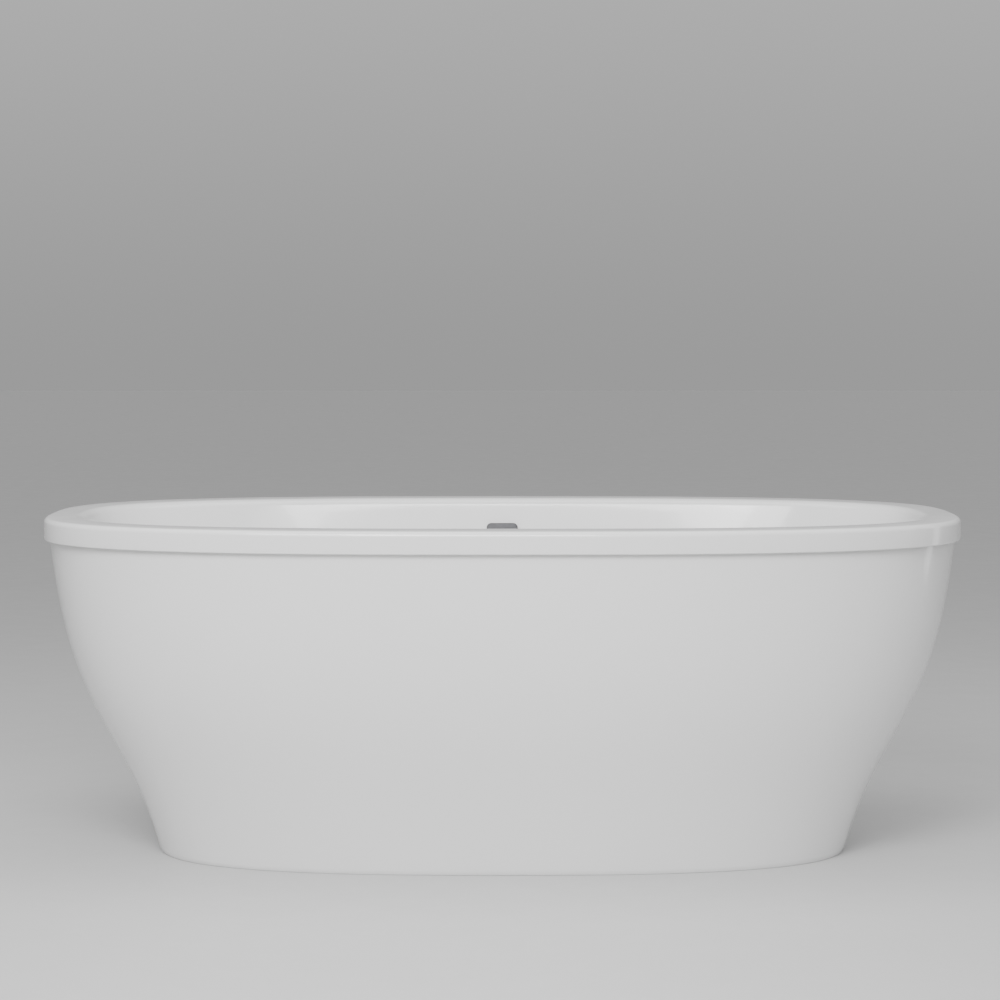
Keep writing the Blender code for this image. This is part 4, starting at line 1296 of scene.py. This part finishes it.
@dataclass
class Waste:
    """Chromed flange, gaskets, shoe with a side branch, and the tail pipe."""

    flange_radius: float = 0.0375
    flange_thickness: float = 0.003
    barrel: float = 0.0250
    bore: float = 0.0215
    barrel_length: float = 0.049
    throat: float = 0.0235
    throat_lip: float = 0.0300
    throat_depth: float = 0.0085
    web_depth: float = 0.036
    web_thickness: float = 0.004
    web_bore: float = 0.0050
    web_hole: float = 0.0055
    web_circle: float = 0.0133
    web_holes: int = 4
    gasket_radius: float = 0.0360
    gasket_clearance: float = 0.0008
    shoe_flange: float = 0.0400
    shoe_flange_thickness: float = 0.005
    shoe_radius: float = 0.0300
    shoe_bottom: float = 0.058
    tail_pipe: float = 0.0195
    branch_pipe: float = 0.0160
    pipe_wall: float = 0.002
    branch_length: float = 0.060

    def __post_init__(self) -> None:
        """Take the heights from the CAD frame."""
        self.seat = span("drain_flange")[1] - self.flange_thickness
        self.mouth, self.shoe_top = span("drain_shoe")
        self.branch_height = centre("branch_nut")[2]
        self.tail, self.branch = SlipJoint(self.tail_pipe), SlipJoint(self.branch_pipe)

    def build(self) -> None:
        """Make every piece of the waste."""
        self.flange()
        for name, node in (("waste_seal", "flange_gasket"), ("waste_gasket", "shoe_gasket")):
            bore = self.barrel + self.gasket_clearance
            add_piece(name, washer(name, bore, self.gasket_radius, *span(node)), RUBBER, node)
        self.shoe()
        outer, inner = self.tail_pipe, self.tail_pipe - self.pipe_wall
        low, top = span("tail_pipe")[0], self.mouth + self.tail.socket_depth
        outline = [(inner, low), (outer, low), (outer, top), (inner, top)]
        add_piece("waste_tail", turned("waste_tail", outline, 0.0005), PLASTIC, "tail_pipe")
        self.tail.build("tail", (0.0, 0.0, self.mouth))
        at = (0.0, self.branch_length, self.branch_height)
        self.branch.build("branch", at, (QUARTER, 0.0, 0.0))

    def flange(self) -> None:
        """Make the chromed flange with its barrel and drilled web."""
        rim, thick, bore = self.flange_radius, self.flange_thickness, self.bore
        top, low, end = -self.web_depth, -self.web_depth - self.web_thickness, -self.barrel_length
        outline = [
            (self.barrel, 0), (rim, 0), (rim, thick / 2), (rim - thick / 2, thick),
            (self.throat_lip, thick), (self.throat, 0), (bore, -self.throat_depth), (bore, top),
            (self.web_bore, top), (self.web_bore, low), (bore, low), (bore, end),
            (self.barrel, end),
        ]
        mesh = turned("waste_flange", outline, 0.0009, 96)
        flange = add_piece("waste_flange", mesh, CHROME, "drain_flange", at=(0.0, 0.0, self.seat))
        drills = []
        for index in range(self.web_holes):
            drill = cylinder("web_drill", self.web_hole, low - MARGIN, top + MARGIN)
            place = polar(self.web_circle, 2 * math.pi * (index + 0.5) / self.web_holes)
            drills.append(moved(drill, place))
        carve(flange, drills)

    def shoe(self) -> None:
        """Make the shoe under the flange, with sockets for both pipes."""
        top, low, mouth = self.shoe_top, self.shoe_bottom, self.mouth
        under, tail = top - self.shoe_flange_thickness, self.tail
        outline = [
            (0, top), (self.shoe_flange, top), (self.shoe_flange, under),
            (self.shoe_radius, under), (self.shoe_radius, low), (tail.socket, low),
            (tail.socket, mouth), (0, mouth),
        ]
        mesh = turned("waste_shoe", outline, 0.0012, 80)
        shoe = add_piece("waste_shoe", mesh, PLASTIC, "drain_shoe")
        chamber, bore = low + tail.socket_wall, self.barrel + FIT
        outline = [
            (0, top + OVERRUN), (bore, top + OVERRUN), (bore, chamber), (tail.bore, chamber),
            (tail.bore, mouth - OVERRUN), (0, mouth - OVERRUN),
        ]
        hollow = turned("shoe_bore", outline, 0.0, 80)
        branch = cylinder("branch_wall", self.branch.socket, 0, self.branch_length)
        side = cylinder("branch_bore", self.branch.bore, 0, self.branch_length + OVERRUN)
        at = (0.0, 0.0, self.branch_height)
        carve(shoe, [hollow, moved(side, at, ALONG_Y)], [moved(branch, at, ALONG_Y)])


@dataclass
class Plug:
    """Push-to-open plug on its spring cartridge."""

    waste: Waste
    cap_radius: float = 0.0325
    cap_edge: float = 0.0016
    cap_dome: float = 0.0035
    dome_steps: int = 13
    boss: float = 0.0070
    boss_length: float = 0.0070
    stem: float = 0.0020
    stem_insert: float = 0.0037
    stem_bottom: float = 0.0320
    collar: float = 0.0048
    collar_thickness: float = 0.0020
    collar_depth: float = 0.0220
    seal: float = 0.0227
    seal_thickness: float = 0.0025
    seal_taper: float = 0.0006
    cartridge: float = 0.0075
    cartridge_bore: float = 0.0055
    cartridge_top: float = 0.0100
    cartridge_floor: float = 0.0015
    spigot: float = 0.0046
    spigot_length: float = 0.0060
    coil: float = 0.0038
    wire: float = 0.0007
    turns: int = 5
    turn_steps: int = 28

    def build(self) -> None:
        """Make the head, its seal, the pin, the barrel and the coil."""
        at = (0.0, 0.0, self.waste.seat)
        bore, taper, thick = self.boss + FIT, self.seal - self.seal_taper, -self.seal_thickness
        seal = [(bore, 0), (self.seal, 0), (taper, thick), (bore, thick)]
        tip, step, top = -self.stem_bottom, -self.collar_depth, self.stem_insert - self.boss_length
        low = step - self.collar_thickness
        pin = [
            (0, tip), (self.stem, tip), (self.stem, low), (self.collar, low),
            (self.collar, step), (self.stem, step), (self.stem, top), (0, top),
        ]
        base, mouth = FIT - self.waste.web_depth, -self.cartridge_top
        cavity, foot = base + self.cartridge_floor, base - self.spigot_length
        barrel = [
            (0, foot), (self.spigot, foot), (self.spigot, base), (self.cartridge, base),
            (self.cartridge, mouth), (self.cartridge_bore, mouth), (self.cartridge_bore, cavity),
            (0, cavity),
        ]
        for name, outline, radius, count, finish, node, body in (
            ("plug_head", self.head(), 0.0005, 96, CHROME, "plug_cap", PLUG),
            ("plug_ring", seal, 0.0006, 64, RUBBER, "plug_seal", PLUG),
            ("plug_pin", pin, 0.0003, 40, ZINC, "plug_stem", PLUG),
            ("plug_barrel", barrel, 0.0004, 48, BRASS, "plug_cartridge", TUB),
        ):
            add_piece(name, turned(name, outline, radius, count), finish, node, body, at)
        room = self.wire + FIT
        self.spring(self.waste.seat + cavity + room, self.waste.seat + low - room)

    def head(self) -> list[Pair]:
        """Outline the domed head with the boss that holds the pin.

        Returns:
            The outline's corner points.
        """
        under, neck = self.waste.flange_thickness + FIT, self.seal - self.cap_edge
        hole, base, edge = self.stem + FIT, -self.boss_length, self.cap_edge
        roof = base + self.stem_insert + FIT
        outline = [
            (0, roof), (hole, roof), (hole, base), (self.boss, base), (self.boss, FIT),
            (neck, FIT), (neck, under), (self.cap_radius, under),
        ]
        for step in range(self.dome_steps):
            share = (step / self.dome_steps) ** 2
            reach = self.cap_radius * math.sqrt(1 - share)
            outline.append((reach, under + edge + self.cap_dome * share))
        return [*outline, (0, under + edge + self.cap_dome)]

    def spring(self, low: float, high: float) -> None:
        """Make the coil, which stretches as the plug rises.

        Args:
            low: Z of the lowest turn's centre.
            high: Z of the highest turn's centre.
        """
        steps = self.turns * self.turn_steps
        path = []
        for index in range(steps + 1):
            angle = 2 * math.pi * index / self.turn_steps
            path.append(polar(self.coil, angle, low + (high - low) * index / steps))
        mesh = swept("plug_coil", path, lambda share: self.wire, 0.0, 12)
        coil = add_piece("plug_coil", mesh, ZINC, "plug_spring", body=None)
        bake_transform(coil)


# -------------------------------------------------------------------------------- the overflow


@dataclass
class Overflow:
    """Satin cover, its strap, and the elbow and pipe behind the wall."""

    basin: BasinShell
    skirt: SkirtShell
    waste: Waste
    cover: Pair = (0.062, 0.028)
    cover_depth: float = 0.008
    cover_corner: float = 0.009
    cover_wall: float = 0.0015
    cover_round: float = 0.0022
    slot_width: float = 0.042
    strap: Pair = (0.054, 0.020)
    strap_thickness: float = 0.0015
    strap_corner: float = 0.006
    window: Pair = (0.028, 0.010)
    window_corner: float = 0.0015
    screw_spread: float = 0.0185
    screw: float = 0.0018
    screw_head: float = 0.0032
    screw_head_height: float = 0.0020
    screw_length: float = 0.0125
    cross: Pair = (0.0009, 0.0038)
    cross_depth: float = 0.0011
    hole_clearance: float = 0.0005
    gasket_thickness: float = 0.002
    flange: Pair = (0.066, 0.036)
    flange_thickness: float = 0.004
    chamber_width: float = 0.050
    chamber_round: float = 0.002
    corner: float = 0.007
    wall: float = 0.003
    socket_drop: float = 0.030
    wall_clearance: float = 0.002
    bend_rise: float = 0.175
    bend_sweep: float = 0.182
    upper_handle: float = 0.120
    lower_handle: float = 0.100
    run_on: float = 0.08
    bend_steps: int = 32

    def __post_init__(self) -> None:
        """Work out the elbow's places in its own tilted frame."""
        self.joint, self.shell = self.waste.branch, self.basin.shell
        self.offset = self.shell + self.wall_clearance + self.joint.outside
        self.mouth = -self.flange[1] / 2 - self.socket_drop
        self.seat, self.tilt = self.basin.overflow_seat()
        self.drill = self.screw + self.hole_clearance
        self.places = [(side * self.screw_spread, 0.0, 0.0) for side in (-1, 1)]

    def build(self) -> None:
        """Make every piece of the overflow."""
        self.cover_plate()
        self.strap_plate()
        self.elbow()
        pipe = self.joint.pipe
        bore = pipe - self.waste.pipe_wall
        tube = swept("overflow_tube", self.route(), lambda share: pipe, bore, 48)
        add_piece("overflow_tube", tube, PLASTIC, "overflow_pipe")
        lean = Euler(self.tilt).to_matrix()
        place = self.seat + lean @ Vector((0.0, self.offset, self.mouth))
        self.joint.build("elbow", place, self.tilt)

    def add(self, name: str, mesh: Mesh, finish: Finish, node: str) -> Piece:
        """Place one piece in the overflow's tilted frame."""
        return add_piece(name, mesh, finish, node, at=self.seat, turn=self.tilt)

    def cover_plate(self) -> None:
        """Make the hollow cover with its open slot underneath."""
        width, height = self.cover
        front, wall, corner = -FIT - self.cover_depth, self.cover_wall, self.cover_corner
        steps = [(inset, front + rise) for inset, rise in quarter(self.cover_round, 6)]
        steps += [(0.0, -FIT), (wall, -FIT), (wall, front + wall)]
        rows = [
            rounded(width - 2 * inset, height - 2 * inset, corner - inset, depth)
            for inset, depth in steps
        ]
        mesh = make_mesh("overflow_plate", rows, caps=True)
        cover = self.add("overflow_plate", mesh, COVER, "overflow_cover")
        size, edge = (self.slot_width, corner), self.window_corner
        slot = plate("slot_cutter", size, edge, self.shell, front + wall)
        carve(cover, [moved(slot, (0.0, 0.0, -height / 2))])

    def strap_plate(self) -> None:
        """Make the strap behind the cover and its two screws."""
        face, shell = -FIT - self.strap_thickness, self.shell
        mesh = plate("overflow_strap", self.strap, self.strap_corner, -FIT, face, 0.0003)
        strap = self.add("overflow_strap", mesh, ZINC, "overflow_bracket")
        head, radius = face - FIT, self.screw
        top, tip = head - self.screw_head_height, head + self.screw_length
        outline = [
            (0, top), (self.screw_head, top), (self.screw_head, head), (radius, head),
            (radius, tip), (0, tip),
        ]
        cuts = [plate("strap_window", self.window, self.window_corner, shell, -shell)]
        for number, place in enumerate(self.places, 1):
            cuts.append(moved(cylinder("strap_drill", self.drill, -shell, shell), place, ALONG_Y))
            mesh = moved(turned("strap_screw", outline, 0.0007, 48), place, ALONG_Y)
            screw = self.add(f"strap_screw_{number}", mesh, ZINC, f"overflow_screw_{number}")
            cross = []
            for size in (self.cross, self.cross[::-1]):
                deep = top + self.cross_depth
                bar = plate("cross_cutter", size, 0.0002, deep, top - MARGIN, 0.0001)
                cross.append(moved(bar, place))
            carve(screw, cross)
        carve(strap, cuts)

    def elbow(self) -> None:
        """Make the gasket and the hollow elbow behind the wall."""
        start, wall, corner = self.shell + FIT, self.wall, self.corner
        end = start + self.gasket_thickness
        pad = plate("overflow_pad", self.flange, corner, start, end, 0.0003)
        gasket = self.add("overflow_pad", pad, RUBBER, "overflow_gasket")
        hole, hole_corner = self.basin.overflow_hole, self.basin.overflow_corner
        carve(gasket, [plate("pad_window", hole, hole_corner, 0.0, 2 * end)])
        face = end + FIT
        shoulder = face + self.flange_thickness
        mesh = plate("overflow_elbow", self.flange, corner, face, shoulder, 0.0008)
        elbow = self.add("overflow_elbow", mesh, PLASTIC, "overflow_body")
        back, deep = self.offset + self.joint.socket, shoulder + wall
        centred = (0.0, self.offset, 0.0)
        width, height = self.chamber_width, self.flange[1]
        outer, inner = (width, height - FIT), (width - 2 * wall, height - 2 * wall)
        socket = cylinder("socket_wall", self.joint.socket, self.mouth, 0.0)
        bore = cylinder("bore", self.joint.bore, self.mouth - OVERRUN, 0.0)
        joins = [
            plate("chamber", outer, corner, shoulder - 0.001, back, self.chamber_round),
            moved(socket, centred),
        ]
        cuts = [
            plate("hollow", inner, corner - wall, shoulder, back - wall),
            plate("elbow_window", self.window, self.window_corner, 0.0, deep),
            moved(bore, centred),
        ]
        for place in self.places:
            cuts.append(moved(cylinder("elbow_drill", self.drill, 0.0, deep), place, ALONG_Y))
        carve(elbow, cuts, joins)

    def route(self) -> list[Vector]:
        """Centre line of the pipe, from the elbow's socket to the waste's branch.

        Returns:
            The points of the line.
        """
        lean = Euler(self.tilt).to_matrix()
        inside, low = self.joint.socket_depth, self.waste.branch_height
        outward, down = lean @ Vector((0, 1, 0)), lean @ Vector((0, 0, -1))
        start = self.seat + outward * self.offset - down * (self.mouth + inside)
        clear = start + down * (inside + self.joint.sleeve)
        height = low + self.bend_rise
        face = self.basin.section(height)[1] + self.shell
        halfway = (face + self.skirt.reach(0.0, height)) / 2
        bend = Vector((0.0, halfway, height))
        finish = Vector((0.0, halfway - self.bend_sweep, low))
        upper = bend + (bend - clear).normalized() * self.upper_handle
        lower = finish + Vector((0.0, self.lower_handle, 0.0))
        points = [start, clear.lerp(start, self.run_on), clear, clear.lerp(bend, self.run_on)]
        for step in range(self.bend_steps + 1):
            share = step / self.bend_steps
            rest = 1 - share
            point = bend * rest**3 + upper * (3 * rest * rest * share)
            points.append(point + lower * (3 * rest * share * share) + finish * share**3)
        return [*points, Vector((0.0, self.waste.branch_length - inside, low))]


# ---------------------------------------------------------------------------------- the studio


@dataclass
class Studio:
    """Pale floor, soft lights and the camera."""

    camera_at: Triple = (-0.0043, -4.6146, 0.9759)
    camera_pitch: float = 0.0721
    lens: float = 89.66
    floor_size: float = 60.0
    horizon: float = 0.37
    zenith: float = 0.59
    dawn: Pair = (-0.03, 0.2)

    def build(self) -> None:
        """Make the floor, the world, the lights and the camera."""
        half = self.floor_size / 2
        corners = [(x * half, y * half, 0.0) for x, y in ((-1, -1), (1, -1), (1, 1), (-1, 1))]
        mesh = bpy.data.meshes.new("studio_floor")
        mesh.from_pydata(corners, [], [(0, 1, 2, 3)])
        mesh.materials.append(FLOOR.material)
        stand("studio_floor", mesh)
        self.fill_sky()
        self.light("front_wide", (-0.2, -5.3, 2.0), (0.0, 0.0, 0.45), (4.6, 2.2), 78.0)
        self.light("front_near", (-0.15, -2.2, 1.8), (-0.1, 0.0, 0.5), (1.0, 0.8), 34.0)
        self.light("front_high", (-1.2, -3.2, 3.0), (-0.15, 0.0, 0.3), (1.6, 1.6), 84.0)
        self.light("overhead", (0.0, -0.2, 3.2), (0.0, -0.1, 0.3), (4.4, 1.4), 46.0)
        self.light("right_strip", (2.7, 0.3, 0.9), (0.3, 0.0, 0.45), (0.28, 1.8), 4.0)
        self.aim_camera()

    def fill_sky(self) -> None:
        """Light the studio from all round, brighter towards the top."""
        world = bpy.data.worlds.new("studio")
        world.use_nodes = True
        nodes, links = world.node_tree.nodes, world.node_tree.links
        place = nodes.new("ShaderNodeTexCoord")
        split = nodes.new("ShaderNodeSeparateXYZ")
        climb = nodes.new("ShaderNodeMapRange")
        climb.interpolation_type = "SMOOTHSTEP"
        low, high = self.dawn
        set_sockets(climb, {"From_Min": low, "From_Max": high})
        set_sockets(climb, {"To_Min": self.horizon, "To_Max": self.zenith})
        links.new(place.outputs["Generated"], split.inputs["Vector"])
        links.new(split.outputs["Z"], climb.inputs["Value"])
        links.new(climb.outputs["Result"], nodes["Background"].inputs["Strength"])
        set_sockets(nodes["Background"], {"Color": (1.0, 1.0, 1.0, 1.0)})
        bpy.context.scene.world = world

    def light(self, name: str, at: Triple, towards: Triple, size: Pair, power: float) -> None:
        """Add one soft rectangular light.

        Args:
            name: the light's name.
            at: its place.
            towards: the point that it faces.
            size: its width and height.
            power: its power in watts.
        """
        data = bpy.data.lights.new(name, "AREA")
        data.shape = "RECTANGLE"
        data.size, data.size_y = size
        data.energy = power
        lamp = stand(name, data)
        lamp.location = at
        aim = Vector(towards) - Vector(at)
        lamp.rotation_euler = aim.to_track_quat("-Z", "Y").to_euler()

    def aim_camera(self) -> None:
        """Add the camera, level with a slight downward pitch."""
        data = bpy.data.cameras.new("camera")
        data.lens = self.lens
        data.sensor_width = 36.0
        camera = stand("camera", data)
        camera.location = self.camera_at
        camera.rotation_euler = (QUARTER - self.camera_pitch, 0.0, 0.0)
        bpy.context.scene.camera = camera


def main() -> None:
    """Build the bath's looks, piece by piece."""
    logging.basicConfig(level=logging.INFO, format="%(name)s %(message)s")
    basin, waste = BasinShell(), Waste()
    skirt = SkirtShell(basin)
    for part in (
        basin, skirt, Underside(basin, skirt), SteelFrame(), LevellingFeet(),
        waste, Plug(waste), Overflow(basin, skirt, waste), Studio(),
    ):
        LOG.info("building %s", type(part).__name__)
        part.build()


if __name__ == "__main__":
    main()
